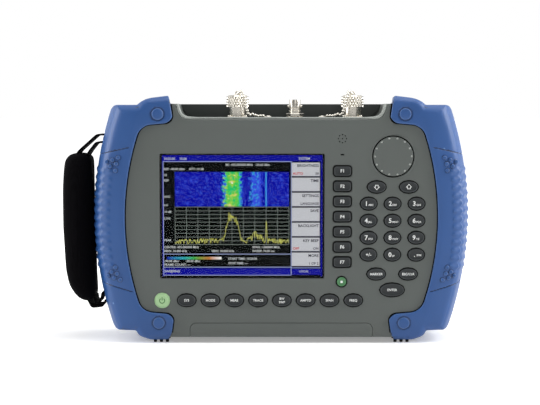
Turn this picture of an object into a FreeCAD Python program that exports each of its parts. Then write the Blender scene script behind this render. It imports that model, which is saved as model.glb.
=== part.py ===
import FreeCAD, Part
import math
import os
import re
import Sketcher

# Handheld spectrum analyzer. X runs to the right, Y from the front to the back, Z up.
# Every shape is drawn about the centre plane of the case, and case_x moves it into the frame of the
# whole part, whose box also holds the hand strap on the left.

SIZES = {
    # Whole instrument
    "case_x": 12.75,
    "mid_height": 103.5,
    "case_front": -30.5,
    "case_back": 28.5,
    "case_split": -4.0,
    "case_half_height": 94.6,
    "case_reach": 150.0,
    "case_side_radius": 279.0,
    "case_corner_round": 40.0,
    "case_edge_cut": 8.0,
    "wall": 2.5,
    "gap": 0.3,
    # Bumpers
    "bumper_front": -33.2,
    "bumper_back": 34.0,
    "bumper_reach": 157.6,
    "bumper_side_radius": 287.0,
    "bumper_plateau": 93.8,
    "bumper_inner_reach": 128.9,
    "bumper_inner_radius": 226.0,
    "bumper_elbow_round": 12.0,
    "bumper_corner_round": 9.0,
    "bumper_edge_round": 7.0,
    "bumper_crown_radius": 75.0,
    "bumper_crown_edge": 8.0,
    "arm_end": 88.5,
    "arm_lean": 5.5,
    "arm_inner": 77.0,
    "arm_round": 6.0,
    "knuckle_height": 101.8,
    "knuckle_inner_end": 111.3,
    "knuckle_outer_end": 118.5,
    "foot_inner_end": 117.5,
    "foot_outer_end": 121.0,
    "dome_x": 101.3,
    "dome_height": 86.2,
    "dome_radius": 4.4,
    "dome_proud": 1.3,
    "rib_count": 13,
    "rib_pitch": 6.8,
    "rib_height": 1.0,
    "rib_depth": 1.4,
    "rib_overlap": 0.34,
    # Slots in the left bumper for the strap
    "slot_upper": 65.8,
    "slot_lower": -67.1,
    "slot_height": 2.8,
    "slot_bar": 3.6,
    "slot_width": 26.0,
    "slot_bar_depth": 3.6,
    "slot_recess": 3.0,
    # Connector bay in the top edge
    "bay_lip": 186.8,
    "bay_half_top": 85.5,
    "bay_half_floor": 82.0,
    "bay_back": 12.0,
    "bay_corner_round": 8.0,
    "bay_rim": 2.0,
    "panel_floor": 2.0,
    "panel_back": 1.6,
    "ledge": 5.5,
    # Display
    "screen_x": -32.3,
    "screen_z": 105.6,
    "screen_round": 1.5,
    "bezel_step": 0.4,
    "window_width": 136.0,
    "window_height": 103.4,
    "window_border": 4.0,
    "window_thickness": 1.5,
    "display_width": 140.0,
    "display_height": 110.0,
    "display_thickness": 7.0,
    # Keys
    "key_proud": 1.5,
    "key_depth": 5.3,
    "key_travel": 1.2,
    "key_gap": 0.3,
    "soft_key_x": 50.2,
    "soft_key_z": 143.0,
    "soft_key_pitch": 12.54,
    "soft_key_width": 15.6,
    "soft_key_height": 9.4,
    "soft_key_round": 2.6,
    "arrow_key_width": 16.4,
    "arrow_key_height": 11.0,
    "arrow_key_z": 129.9,
    "number_key_x": 91.6,
    "number_key_z": 116.1,
    "number_key_width": 14.8,
    "number_key_height": 11.5,
    "number_pitch_x": 19.7,
    "number_pitch_z": 14.07,
    "side_key_spread": 13.2,
    "side_key_z": 57.8,
    "side_key_width": 16.4,
    "side_key_height": 10.9,
    "enter_key_z": 44.6,
    "enter_key_width": 21.3,
    "enter_key_height": 12.3,
    "function_key_x": -78.3,
    "function_key_z": 35.9,
    "function_key_pitch": 19.7,
    "function_key_width": 16.4,
    "function_key_height": 11.5,
    "preset_key_x": 49.8,
    "preset_key_z": 51.4,
    "preset_key_size": 9.4,
    "power_key_x": -98.6,
    "power_key_z": 35.7,
    "power_key_size": 12.9,
    # Mat and board behind the keys
    "mat_rim": 1.5,
    "mat_sheet": 1.2,
    "mat_left": -108.0,
    "mat_bend_x": 40.5,
    "mat_right": 121.5,
    "mat_bottom": 27.0,
    "mat_bend_z": 44.0,
    "mat_top": 173.5,
    "board_thickness": 1.6,
    # Knob and its encoder
    "knob_x": 91.8,
    "knob_z": 155.0,
    "knob_radius": 16.5,
    "knob_well_gap": 0.75,
    "knob_proud": 1.8,
    "knob_thickness": 6.0,
    "knob_notch_count": 14,
    "knob_notch_depth": 0.9,
    "knob_edge": 0.8,
    "shaft_radius": 3.0,
    "shaft_gap": 0.06,
    "shaft_engagement": 3.6,
    "encoder_side": 13.0,
    "encoder_depth": 6.0,
    "encoder_bush": 4.5,
    # Speaker and light sensor
    "speaker_x": 50.1,
    "speaker_z": 169.5,
    "speaker_ring": 3.3,
    "speaker_hole_count": 8,
    "speaker_hole": 0.55,
    "sensor_z": 156.4,
    "sensor_width": 3.0,
    "sensor_height": 1.1,
    # Connectors in the bay
    "connector_y": -6.0,
    "rf_output_x": -36.5,
    "rf_input_x": 59.7,
    "reference_x": 11.5,
    "rf_flange": 17.0,
    "rf_flange_thickness": 1.0,
    "rf_barrel_radius": 7.9,
    "rf_barrel_top": 203.4,
    "rf_bore_radius": 5.2,
    "rf_bore_depth": 9.5,
    "rf_contact_radius": 1.6,
    "rf_shank_radius": 5.0,
    "shank_bottom": 168.2,
    "cap_radius": 9.35,
    "cap_bottom": 195.6,
    "cap_top": 205.4,
    "cap_inner_gap": 0.1,
    "cap_ring_radius": 2.6,
    "cap_ring_hole": 1.3,
    "cap_ring_sink": 1.5,
    "cap_ring_thickness": 1.6,
    "bnc_nut_width": 13.0,
    "bnc_nut_height": 2.6,
    "bnc_washer_radius": 7.2,
    "bnc_washer_height": 1.0,
    "bnc_barrel_radius": 4.8,
    "bnc_top": 201.7,
    "bnc_bore_radius": 4.05,
    "bnc_bore_depth": 8.0,
    "bnc_contact_radius": 1.1,
    "bnc_lug_radius": 1.0,
    "bnc_lug_reach": 6.0,
    "bnc_lug_z": 196.3,
    # Chains of the dust caps
    "chain_thickness": 2.4,
    "chain_run": 22.0,
    "eyelet_radius": 3.2,
    "eyelet_height": 1.2,
    # Sockets in the left part of the bay
    "socket_floor": 172.0,
    "lan_x": -67.3,
    "lan_y": -3.0,
    "lan_width": 15.5,
    "lan_depth": 13.5,
    "lan_port_width": 11.8,
    "lan_port_depth": 7.6,
    "lan_port_reach": 11.0,
    "usb_x": -67.3,
    "usb_y": -18.5,
    "usb_width": 14.4,
    "usb_depth": 7.0,
    "usb_port_width": 12.4,
    "usb_port_depth": 5.0,
    "usb_tongue": 1.8,
    "mini_x": -52.3,
    "mini_y": 4.0,
    "mini_width": 8.6,
    "mini_depth": 5.0,
    "mini_port_width": 6.8,
    "mini_port_depth": 3.2,
    "mini_port_reach": 5.5,
    "phone_x": -52.3,
    "phone_y": -19.5,
    "phone_width": 8.0,
    "phone_depth": 8.0,
    "phone_bore": 1.8,
    "phone_bore_depth": 13.0,
    "power_x": -52.3,
    "power_y": -8.0,
    "power_width": 10.0,
    "power_depth": 10.0,
    "power_bore": 3.2,
    "power_pin": 1.0,
    "power_bore_depth": 10.0,
    # Boards and modules inside
    "main_board_y": -16.0,
    "main_board_half": 115.0,
    "main_board_bottom": 24.0,
    "main_board_top": 170.0,
    "rf_module_left": -46.0,
    "rf_module_right": 74.0,
    "rf_module_bottom": 128.0,
    "rf_module_top": 168.0,
    "rf_module_depth": 20.0,
    "shield_step": 2.0,
    "post_radius": 3.0,
    "post_left": -111.5,
    "post_middle": 20.0,
    "post_right": 112.0,
    "post_top": 166.0,
    "post_bottom": 29.0,
    # Screws that close the case
    "screw_x": 119.5,
    "screw_spread": 48.0,
    "screw_radius": 1.5,
    "screw_gap": 0.1,
    "screw_head_radius": 2.9,
    "screw_head_height": 2.0,
    "screw_sink": 1.2,
    "screw_grip": 9.0,
    "boss_radius": 3.8,
    # Battery and its door
    "door_half": 75.5,
    "door_lip_height": 11.6,
    "door_round": 5.0,
    "door_back": 14.0,
    "tongue_x": 50.0,
    "tongue_width": 14.0,
    "tongue_reach": 2.4,
    "tongue_thickness": 1.2,
    "tongue_gap": 0.15,
    "battery_width": 144.0,
    "battery_depth": 22.0,
    "battery_height": 58.0,
    "battery_y": 0.0,
    "battery_round": 3.0,
    # Tilt stand
    "stand_hinge_z": 128.0,
    "stand_foot_z": 36.0,
    "stand_half": 70.0,
    "stand_bar": 9.0,
    "stand_thickness": 4.6,
    "stand_corner_round": 9.0,
    "stand_axis": 2.5,
    "stand_pin_radius": 1.3,
    "stand_pin_length": 4.5,
    "stand_pin_gap": 0.08,
    "ear_width": 5.5,
    "ear_height": 10.0,
    "ear_top": 5.0,
    # Hand strap
    "pad_outer": 183.7,
    "pad_thickness": 24.6,
    "pad_depth": 42.0,
    "pad_top": 158.0,
    "pad_bottom": 31.0,
    "pad_collar": 9.0,
    "pad_shoulder": 30.0,
    "pad_corner_share": 0.42,
    "webbing_width": 22.0,
    "webbing_thickness": 1.6,
}

doc = FreeCAD.newDocument("SpectrumAnalyzer")
sheet = doc.addObject("Spreadsheet::Sheet", "Sizes")
for row, (alias, number) in enumerate(SIZES.items(), start=1):
    sheet.set(f"A{row}", alias)
    sheet.set(f"B{row}", str(number))
    sheet.setAlias(f"B{row}", alias)
doc.recompute()

NODES = {}
PLACES = {}


def formula(text):
    """The text with each size's name turned into a reference to its cell."""
    return re.sub(r"[a-z_]+", lambda word: "Sizes." + word[0] if word[0] in SIZES else word[0], str(text))


def size(text):
    """The number that a formula of sizes gives now."""
    return float(sheet.evalExpression(formula(text)))


def bind(item, **properties):
    """Tie an object's properties to formulas of sizes."""
    for name, text in properties.items():
        item.setExpression(name, formula(text))


def place(item, x="0", y="0", z="0"):
    """Tie an object's place to formulas of sizes."""
    PLACES[item.Name] = (x, y, z)
    for axis, text in (("x", x), ("y", y), ("z", z)):
        item.setExpression("Placement.Base." + axis, formula(text))


def finish_node(item, name, x="0", z="0", y="0"):
    """Name a finished piece, move it from where it was drawn into the part's frame and keep it."""
    drawn_x, drawn_y, drawn_z = PLACES.get(item.Name, ("0", "0", "0"))
    item.Label = name
    place(item, f"case_x + {x} + {drawn_x}", f"{y} + {drawn_y}", f"{z} + {drawn_z}")
    NODES[name] = item


def new_body(name):
    return doc.addObject("PartDesign::Body", name)


def new_sketch(body, plane, offset, name):
    """A sketch on one of the body's own origin planes, offset along the plane's normal."""
    sketch = body.newObject("Sketcher::SketchObject", name)
    support = next(item for item in body.Origin.OriginFeatures if item.Role == plane)
    sketch.AttachmentSupport = [(support, "")]
    sketch.MapMode = "FlatFace"
    sketch.setExpression("AttachmentOffset.Base.z", formula(offset))
    return sketch


def front_sketch(body, y, name):
    """A sketch in X and Z that lies at the given depth. Its normal points to the front."""
    return new_sketch(body, "XZ_Plane", f"-({y})", name)


def top_sketch(body, z, name):
    """A sketch in X and Y that lies at the given height. Its normal points up."""
    return new_sketch(body, "XY_Plane", z, name)


def constrain(sketch, *constraints):
    """Add constraints, each with the formula that drives it or None."""
    first = sketch.ConstraintCount
    sketch.addConstraint([constraint for constraint, text in constraints])
    for index, (constraint, text) in enumerate(constraints, start=first):
        if text is not None:
            sketch.setExpression(f"Constraints[{index}]", formula(text))


def pinned(element, end, x, y):
    """Constraints that hold one point of a sketch at two formulas of sizes."""
    return [(Sketcher.Constraint(kind, -1, 1, element, end, size(text)), text)
            for kind, text in (("DistanceX", x), ("DistanceY", y))]


def arc_between(start, end, radius):
    """An arc from start to end, to the left of whose chord its centre lies."""
    chord = end - start
    reach = math.sqrt(radius ** 2 - (chord.Length / 2) ** 2)
    left = FreeCAD.Vector(-chord.y, chord.x, 0).normalize()
    centre = (start + end) / 2 + left * reach
    first = math.atan2(start.y - centre.y, start.x - centre.x)
    last = math.atan2(end.y - centre.y, end.x - centre.x)
    return Part.ArcOfCircle(Part.Circle(centre, FreeCAD.Vector(0, 0, 1), radius), first, last)


def draw_outline(sketch, points, arcs=None):
    """A closed, anticlockwise outline through points given as formulas. arcs gives a side's radius:
    a side that bulges outwards has a plain formula, and one that bulges inwards starts with 'in '."""
    arcs = arcs or {}
    corners = [FreeCAD.Vector(size(x), size(y), 0) for x, y in points]
    count = len(points)
    first = sketch.GeometryCount
    ends = []
    for side in range(count):
        start = corners[side]
        end = corners[(side + 1) % count]
        radius = arcs.get(side)
        if radius is None:
            sketch.addGeometry(Part.LineSegment(start, end), False)
            ends.append((1, 2))
        elif radius.startswith("in "):
            sketch.addGeometry(arc_between(end, start, size(radius[3:])), False)
            ends.append((2, 1))
        else:
            sketch.addGeometry(arc_between(start, end, size(radius)), False)
            ends.append((1, 2))
    constraints = []
    for side in range(count):
        following = (side + 1) % count
        joint = (first + side, ends[side][1], first + following, ends[following][0])
        constraints.append((Sketcher.Constraint("Coincident", *joint), None))
        constraints += pinned(first + side, ends[side][0], *points[side])
    for side, radius in arcs.items():
        text = radius.replace("in ", "")
        constraints.append((Sketcher.Constraint("Radius", first + side, size(text)), text))
    constrain(sketch, *constraints)


def regular_points(count, radius, x, y, start=0):
    """Points at even steps round a circle, from a start angle."""
    angles = [start + 360 * index / count for index in range(count)]
    return [(f"{x} + ({radius}) * cos({angle} deg)", f"{y} + ({radius}) * sin({angle} deg)")
            for angle in angles]


def draw_rectangle(sketch, left, right, low, high):
    draw_outline(sketch, [(left, low), (right, low), (right, high), (left, high)])


def draw_circle(sketch, x, y, radius):
    centre = FreeCAD.Vector(size(x), size(y), 0)
    circle = sketch.addGeometry(Part.Circle(centre, FreeCAD.Vector(0, 0, 1), size(radius)), False)
    width = (Sketcher.Constraint("Radius", circle, size(radius)), radius)
    constrain(sketch, *pinned(circle, 3, x, y), width)


def pad(body, sketch, length, reverse=False):
    """Raise a sketch along its normal, or against it."""
    feature = body.newObject("PartDesign::Pad", "Pad")
    feature.Profile = sketch
    feature.Reversed = reverse
    bind(feature, Length=length)
    doc.recompute()
    return feature


def pocket(body, sketch, length, reverse=False):
    """Cut a sketch into the body against its normal, or along it, and make sure that it cut."""
    before = body.Shape.Volume
    feature = body.newObject("PartDesign::Pocket", "Pocket")
    feature.Profile = sketch
    feature.Reversed = reverse
    bind(feature, Length=length)
    doc.recompute()
    if body.Shape.Volume >= before:
        raise RuntimeError(f"{sketch.Name} cuts nothing")
    return feature


def revolve(body, sketch):
    """Turn a sketch about its own vertical axis."""
    feature = body.newObject("PartDesign::Revolution", "Revolution")
    feature.Profile = sketch
    feature.ReferenceAxis = (sketch, ["V_Axis"])
    feature.Angle = 360
    doc.recompute()
    return feature


def chosen_edges(shape, test):
    """The names of a shape's edges that pass a test."""
    return [f"Edge{index}" for index, edge in enumerate(shape.Edges, start=1) if test(edge)]


def round_edges(body, radius, test, kind="Fillet"):
    """Fillet or chamfer the edges of a body's last feature that pass a test."""
    base = body.Tip
    feature = body.newObject("PartDesign::" + kind, kind)
    feature.Base = (base, chosen_edges(base.Shape, test))
    bind(feature, **{"Radius" if kind == "Fillet" else "Size": radius})
    doc.recompute()
    return feature


def edge_middle(edge):
    return edge.valueAt((edge.FirstParameter + edge.LastParameter) / 2)


def is_straight(edge, direction):
    """Whether an edge is a straight line along the given direction."""
    if edge.Curve.TypeId != "Part::GeomLine":
        return False
    return edge.tangentAt(edge.FirstParameter).cross(direction).Length < 0.001


ALONG_X = FreeCAD.Vector(1, 0, 0)
ALONG_Y = FreeCAD.Vector(0, 1, 0)
ALONG_Z = FreeCAD.Vector(0, 0, 1)
ALONG = {"X": ALONG_X, "Y": ALONG_Y, "Z": ALONG_Z}
TURNED = {"X": FreeCAD.Rotation(ALONG_Y, 90), "Y": FreeCAD.Rotation(ALONG_X, -90), "Z": FreeCAD.Rotation()}
NEAR = 0.05


def corner_at(x, z):
    """A test for the edge that runs from front to back at a corner of an outline."""
    def test(edge):
        middle = edge_middle(edge)
        return is_straight(edge, ALONG_Y) and abs(middle.x - x) < NEAR and abs(middle.z - z) < NEAR
    return test


def at_depth(*depths):
    """A test for edges that lie wholly at one of the given depths."""
    def test(edge):
        box = edge.BoundBox
        return any(abs(box.YMin - depth) < NEAR and abs(box.YMax - depth) < NEAR for depth in depths)
    return test


def cut(name, base, *tools):
    """A boolean cut of one or more tools from a base."""
    tool = tools[0] if len(tools) == 1 else fuse(name + "_tools", *tools)
    item = doc.addObject("Part::Cut", name)
    item.Base = base
    item.Tool = tool
    return item


def fuse(name, *shapes):
    item = doc.addObject("Part::MultiFuse", name)
    item.Shapes = list(shapes)
    return item


def common(name, *shapes):
    item = doc.addObject("Part::MultiCommon", name)
    item.Shapes = list(shapes)
    return item


def new_box(name, left, right, front, back, low, high):
    """A box between six formulas of sizes."""
    box = doc.addObject("Part::Box", name)
    bind(box, Length=f"({right}) - ({left})", Width=f"({back}) - ({front})", Height=f"({high}) - ({low})")
    place(box, left, front, low)
    return box


def new_cylinder(name, radius, length, x, y, z, direction="Z"):
    """A cylinder that starts at a point and runs along +X, +Y or +Z."""
    cylinder = doc.addObject("Part::Cylinder", name)
    cylinder.Placement = FreeCAD.Placement(FreeCAD.Vector(), TURNED[direction])
    bind(cylinder, Radius=radius, Height=length)
    place(cylinder, x, y, z)
    return cylinder


def new_prism(name, sides, radius, length, x, y, z, direction="Z"):
    """A prism with a regular outline that starts at a point and runs along +X, +Y or +Z."""
    outline = doc.addObject("Part::RegularPolygon", name + "_outline")
    outline.Placement = FreeCAD.Placement(FreeCAD.Vector(), TURNED[direction])
    outline.Polygon = sides
    bind(outline, Circumradius=radius)
    place(outline, x, y, z)
    prism = doc.addObject("Part::Extrusion", name)
    prism.Base = outline
    prism.DirMode = "Custom"
    prism.Dir = ALONG[direction]
    prism.Solid = True
    bind(prism, LengthFwd=length)
    return prism


def rounded_prism(name, width, height, corner, x, front, z, depth):
    """An upright rectangle with round corners, drawn out from the front towards the back."""
    body = new_body(name)
    sketch = front_sketch(body, front, name + "_outline")
    draw_rectangle(sketch, f"{x} - ({width}) / 2", f"{x} + ({width}) / 2",
                   f"{z} - ({height}) / 2", f"{z} + ({height}) / 2")
    pad(body, sketch, depth, reverse=True)
    round_edges(body, corner, lambda edge: is_straight(edge, ALONG_Y))
    return body


# The block that the case fills

CASE_TOP = "mid_height + case_half_height"
CASE_BOTTOM = "mid_height - case_half_height"


def case_corners(inset="0"):
    """The outline of the case, drawn in by an inset, and the radii of its two bowed sides."""
    radius = f"(case_side_radius - {inset})"
    half = f"(case_half_height - {inset})"
    edge = f"sqrt({radius}^2 - {half}^2) - case_side_radius + case_reach"
    points = [(f"-({edge})", f"mid_height - {half}"), (edge, f"mid_height - {half}"),
              (edge, f"mid_height + {half}"), (f"-({edge})", f"mid_height + {half}")]
    return points, {1: radius, 3: radius}


def barrel(name, outline, axis_x):
    """An outline of distances from an upright centre line and depths, turned about that line's axis."""
    body = new_body(name)
    sketch = top_sketch(body, "0", name + "_profile")
    draw_outline(sketch, outline)
    revolve(body, sketch)
    place(body, axis_x, "0", "mid_height")
    return body


def case_disc(inset, cut_off):
    """The profile of a wide disc about a bowed side's axis, whose slanted rims cut off the case's edges."""
    rim = f"case_side_radius - {inset}"
    front = f"case_front + {inset}"
    back = f"case_back - {inset}"
    return [("0", f"{front} - wall"),
            (f"{rim} - {cut_off} - wall", f"{front} - wall"),
            (f"{rim} + wall", f"{front} + {cut_off} + wall"),
            (f"{rim} + wall", f"{back} - {cut_off} - wall"),
            (f"{rim} - {cut_off} - wall", f"{back} + wall"),
            ("0", f"{back} + wall")]


def slanted(name, item, inset="0", cut_off="case_edge_cut"):
    """A form of the case with the front and back edges of both its sides cut off at a slant."""
    outline = case_disc(inset, cut_off)
    right = barrel(name + "_right_disc", outline, "case_reach - case_side_radius")
    left = barrel(name + "_left_disc", outline, "case_side_radius - case_reach")
    return common(name, item, right, left)


def make_case_block():
    """The space that the closed case fills, which the bumpers are hollowed to fit."""
    body = new_body("case_block")
    sketch = front_sketch(body, "case_front", "case_outline")
    draw_outline(sketch, *case_corners())
    pad(body, sketch, "case_back - case_front", reverse=True)
    round_edges(body, "case_corner_round", lambda edge: is_straight(edge, ALONG_Y))
    return slanted("case_block_form", body)


def make_case_shell():
    """The whole case before it is parted: hollow, with the connector bay cut into its top."""
    body = new_body("case_form")
    sketch = front_sketch(body, "case_front", "case_form_outline")
    draw_outline(sketch, *case_corners())
    pad(body, sketch, "case_back - case_front", reverse=True)
    round_edges(body, "case_corner_round", lambda edge: is_straight(edge, ALONG_Y))

    bay = front_sketch(body, "case_front", "bay_outline")
    draw_outline(bay, [("-bay_half_floor", "bay_lip"), ("bay_half_floor", "bay_lip"),
                       ("bay_half_top", CASE_TOP), ("-bay_half_top", CASE_TOP)])
    pocket(body, bay, "bay_back + panel_back - case_front")
    floor_corner = size("bay_half_floor")
    round_edges(body, "bay_corner_round",
                lambda edge: corner_at(floor_corner, size("bay_lip"))(edge)
                or corner_at(-floor_corner, size("bay_lip"))(edge))
    round_edges(body, "bay_rim", bay_rim_edge, "Chamfer")

    seat = top_sketch(body, "bay_lip", "panel_seat")
    draw_rectangle(seat, "-bay_half_floor", "bay_half_floor", "case_front + wall", "bay_back + panel_back")
    pocket(body, seat, "panel_floor")
    opening = top_sketch(body, "bay_lip - panel_floor", "panel_opening")
    draw_rectangle(opening, "-(bay_half_floor - ledge)", "bay_half_floor - ledge",
                   "case_front + wall + 0.5 * ledge", "bay_back - 0.5 * ledge")
    pocket(body, opening, "2 * wall")

    hollow = new_body("case_hollow")
    inner = front_sketch(hollow, "case_front + wall", "hollow_outline")
    points, arcs = case_corners("wall")
    top = "bay_lip - panel_floor - wall"
    edge = f"sqrt((case_side_radius - wall)^2 - ({top} - mid_height)^2) - case_side_radius + case_reach"
    points[2] = (edge, top)
    points[3] = (f"-({edge})", top)
    draw_outline(inner, points, arcs)
    pad(hollow, inner, "case_back - case_front - 2 * wall", reverse=True)
    round_edges(hollow, "case_corner_round - wall", lambda edge: is_straight(edge, ALONG_Y))
    inner_cut = "(case_edge_cut - (2 - sqrt(2)) * wall)"
    outside = slanted("case_outside", body)
    inside = slanted("case_inside", hollow, "wall", inner_cut)
    return cut("case_shell", outside, inside, *door_space())


def bay_rim_edge(edge):
    """The edges of the bay on the front face, lip and sides."""
    middle = edge_middle(edge)
    return (at_depth(size("case_front"))(edge) and middle.z > size("bay_lip") - NEAR
            and abs(middle.x) < size("bay_half_top") and middle.z < size(CASE_TOP) - NEAR)


# Keys: each row is name, shape, width, height, x, z

def key_table():
    keys = []
    for index in range(7):
        keys.append((f"soft_key_{index + 1}", "rounded", "soft_key_width", "soft_key_height",
                     "soft_key_x", f"soft_key_z - {index} * soft_key_pitch"))
    left = "number_key_x - side_key_spread"
    right = "number_key_x + side_key_spread"
    for name, x in (("arrow_down_key", left), ("arrow_up_key", right)):
        keys.append((name, "oval", "arrow_key_width", "arrow_key_height", x, "arrow_key_z"))
    digits = ("one", "two", "three", "four", "five", "six", "seven", "eight", "nine", "sign", "zero", "point")
    for index, digit in enumerate(digits):
        line, column = divmod(index, 3)
        keys.append((f"{digit}_key", "oval", "number_key_width", "number_key_height",
                     f"number_key_x + {column - 1} * number_pitch_x",
                     f"number_key_z - {line} * number_pitch_z"))
    for name, x in (("marker_key", left), ("escape_key", right)):
        keys.append((name, "oval", "side_key_width", "side_key_height", x, "side_key_z"))
    keys.append(("enter_key", "oval", "enter_key_width", "enter_key_height", "number_key_x", "enter_key_z"))
    functions = ("system", "mode", "measure", "trace", "sweep", "amplitude", "span", "frequency")
    for index, function in enumerate(functions):
        keys.append((f"{function}_key", "oval", "function_key_width", "function_key_height",
                     f"function_key_x + {index} * function_key_pitch", "function_key_z"))
    keys.append(("preset_key", "round", "preset_key_size", "preset_key_size", "preset_key_x", "preset_key_z"))
    keys.append(("power_key", "round", "power_key_size", "power_key_size", "power_key_x", "power_key_z"))
    return keys


def key_outline(shape, width, height, x, z):
    """Points round a key: an oval, or a rectangle with its corners rounded, in short sides."""
    if shape == "rounded":
        turns = (0, 45, 90)
        round_x = round_z = "soft_key_round"
    else:
        turns = (0, 30, 60)
        round_x = f"({width} / 2)"
        round_z = f"({height} / 2)"
    points = []
    for quarter, (side_x, side_z) in enumerate(((1, 1), (-1, 1), (-1, -1), (1, -1))):
        for turn in turns:
            angle = f"({90 * quarter + turn} deg)"
            points.append((f"{x} + {side_x} * ({width} / 2 - {round_x}) + {round_x} * cos{angle}",
                           f"{z} + {side_z} * ({height} / 2 - {round_z}) + {round_z} * sin{angle}"))
    return points


def key_prism(name, shape, width, height, x, z, front, depth, grow="0"):
    """A key's outline drawn out towards the back, grown all round for the opening that it moves in."""
    body = new_body(name)
    sketch = front_sketch(body, front, name + "_outline")
    draw_outline(sketch, key_outline(shape, f"({width} + 2 * {grow})", f"({height} + 2 * {grow})", x, z))
    pad(body, sketch, depth, reverse=True)
    return body


def make_keys():
    """The keys, which slide in their openings and stop short of the mat."""
    for name, shape, width, height, x, z in key_table():
        key = key_prism(name, shape, width, height, x, z, "case_front - key_proud", "key_depth")
        finish_node(key, name)


# Depths of the layers behind the front face

FACE_BACK = "(case_front + wall)"
MAT_SHEET = "(case_front - key_proud + key_depth + key_travel + gap)"
BOARD_FRONT = "(case_front - key_proud + key_depth + key_travel + gap + mat_sheet)"
BOARD_BACK = "(case_front - key_proud + key_depth + key_travel + gap + mat_sheet + board_thickness)"
KNOB_FRONT = "(case_front - knob_proud)"
KNOB_BACK = "(case_front - knob_proud + knob_thickness)"
MAIN_BOARD_BACK = "(main_board_y + board_thickness)"


# Case

def key_openings():
    reach = "wall + 2 * key_proud"
    return [key_prism(key[0] + "_opening", *key[1:], "case_front - key_proud", reach, "key_gap")
            for key in key_table()]


def knob_well():
    """The round opening for the knob."""
    well = new_body("knob_well")
    sketch = front_sketch(well, "case_front - knob_proud", "knob_well_outline")
    draw_outline(sketch, regular_points(36, "knob_radius + knob_well_gap", "0", "0"))
    pad(well, sketch, "2 * wall + knob_proud", reverse=True)
    place(well, "knob_x", "0", "knob_z")
    return [well]


def speaker_holes():
    """One hole in the middle and a ring of holes round it, and the light sensor's slot below."""
    reach = "wall + 2 * key_proud"
    holes = [new_prism("speaker_hole", 6, "speaker_hole", reach, "speaker_x", "case_front - key_proud",
                       "speaker_z", "Y")]
    for index in range(round(size("speaker_hole_count"))):
        turn = f"({index} * 360 deg / speaker_hole_count)"
        holes.append(new_prism(f"speaker_hole_{index + 1}", 6, "speaker_hole", reach,
                               f"speaker_x + speaker_ring * cos{turn}", "case_front - key_proud",
                               f"speaker_z + speaker_ring * sin{turn}", "Y"))
    slot = new_box("sensor_slot", "speaker_x - sensor_width / 2", "speaker_x + sensor_width / 2",
                   "case_front - key_proud", "case_front + 2 * wall",
                   "sensor_z - sensor_height / 2", "sensor_z + sensor_height / 2")
    return holes + [slot]


def door_tongues(name, grow="0"):
    """Two tongues on the door's back edge, grown all round for the slots that they slide into."""
    return [new_box(f"{side}_{name}", f"{x} - tongue_width / 2 - {grow}",
                    f"{x} + tongue_width / 2 + {grow}", "door_back - wall",
                    f"door_back + tongue_reach + {grow}",
                    f"{CASE_BOTTOM} + (wall - tongue_thickness) / 2 - {grow}",
                    f"{CASE_BOTTOM} + (wall + tongue_thickness) / 2 + {grow}")
            for side, x in (("left", "-tongue_x"), ("right", "tongue_x"))]


def door_space():
    """The opening for the battery door: a lip on the front face and the bottom behind it."""
    lip = new_body("door_lip_space")
    sketch = front_sketch(lip, "case_front - wall", "door_lip_space_outline")
    draw_rectangle(sketch, "-(door_half + gap)", "door_half + gap", f"{CASE_BOTTOM} - wall",
                   f"{CASE_BOTTOM} + door_lip_height + gap")
    pad(lip, sketch, "2 * wall + gap", reverse=True)
    top = size(f"{CASE_BOTTOM} + door_lip_height + gap")
    round_edges(lip, "door_round + gap", lambda edge: is_straight(edge, ALONG_Y)
                and abs(edge_middle(edge).z - top) < NEAR)
    floor = new_box("door_floor_space", "-(door_half + gap)", "door_half + gap", "case_front",
                    "door_back + gap", f"{CASE_BOTTOM} - wall", f"{CASE_BOTTOM} + wall + gap")
    return [lip, floor] + door_tongues("tongue_slot", "tongue_gap")


def screw_places():
    """A name, an x and a z for each case screw."""
    spots = []
    for side, x in (("left", "-screw_x"), ("right", "screw_x")):
        for level, z in (("upper", "mid_height + screw_spread"), ("lower", "mid_height - screw_spread")):
            spots.append((f"{side}_{level}", x, z))
    return spots


def make_front_case(shell):
    space = new_box("front_space", "-case_reach - wall", "case_reach + wall", "case_front - wall",
                    "case_split", "0", "2 * mid_height")
    half = common("front_half", shell, space)
    start = "case_front + wall / 2"
    posts = [new_prism(f"post_{name}", 8, "post_radius", f"main_board_y - ({start})", x, start, z, "Y")
             for name, x, z in (("one", "post_left", "post_top"), ("two", "post_left", "post_bottom"),
                                ("three", "post_middle", "post_top"), ("four", "post_right", "post_bottom"))]
    bosses = []
    threads = []
    for name, x, z in screw_places():
        bosses.append(new_prism("front_boss_" + name, 8, "boss_radius", f"case_split - ({start})",
                                x, start, z, "Y"))
        threads.append(new_prism("thread_" + name, 8, "screw_radius + screw_gap", "2 * screw_grip", x,
                                 "case_split - screw_grip - gap", z, "Y"))
    window = rounded_prism("window_opening", "window_width", "window_height", "screen_round",
                           "screen_x", "case_front - wall", "screen_z", "3 * wall")
    solid = fuse("front_solid", half, *posts, *bosses)
    tools = key_openings() + knob_well() + speaker_holes() + threads + [window]
    openings = doc.addObject("Part::Compound", "front_openings")
    openings.Links = tools
    finish_node(cut("front_case_form", solid, openings), "front_case")


def stand_ear(name, x):
    """A sloped ear on the back for one pin of the stand."""
    ear = new_body(name)
    sketch = new_sketch(ear, "YZ_Plane", x, name + "_profile")
    inside = "case_back - wall / 2"
    top = "case_back + stand_thickness"
    draw_outline(sketch, [(inside, "stand_hinge_z - ear_height / 2"),
                          ("case_back", "stand_hinge_z - ear_height / 2"),
                          (top, "stand_hinge_z - ear_top / 2"),
                          (top, "stand_hinge_z + ear_top / 2"),
                          ("case_back", "stand_hinge_z + ear_height / 2"),
                          (inside, "stand_hinge_z + ear_height / 2")])
    pad(ear, sketch, "ear_width")
    return ear


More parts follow.
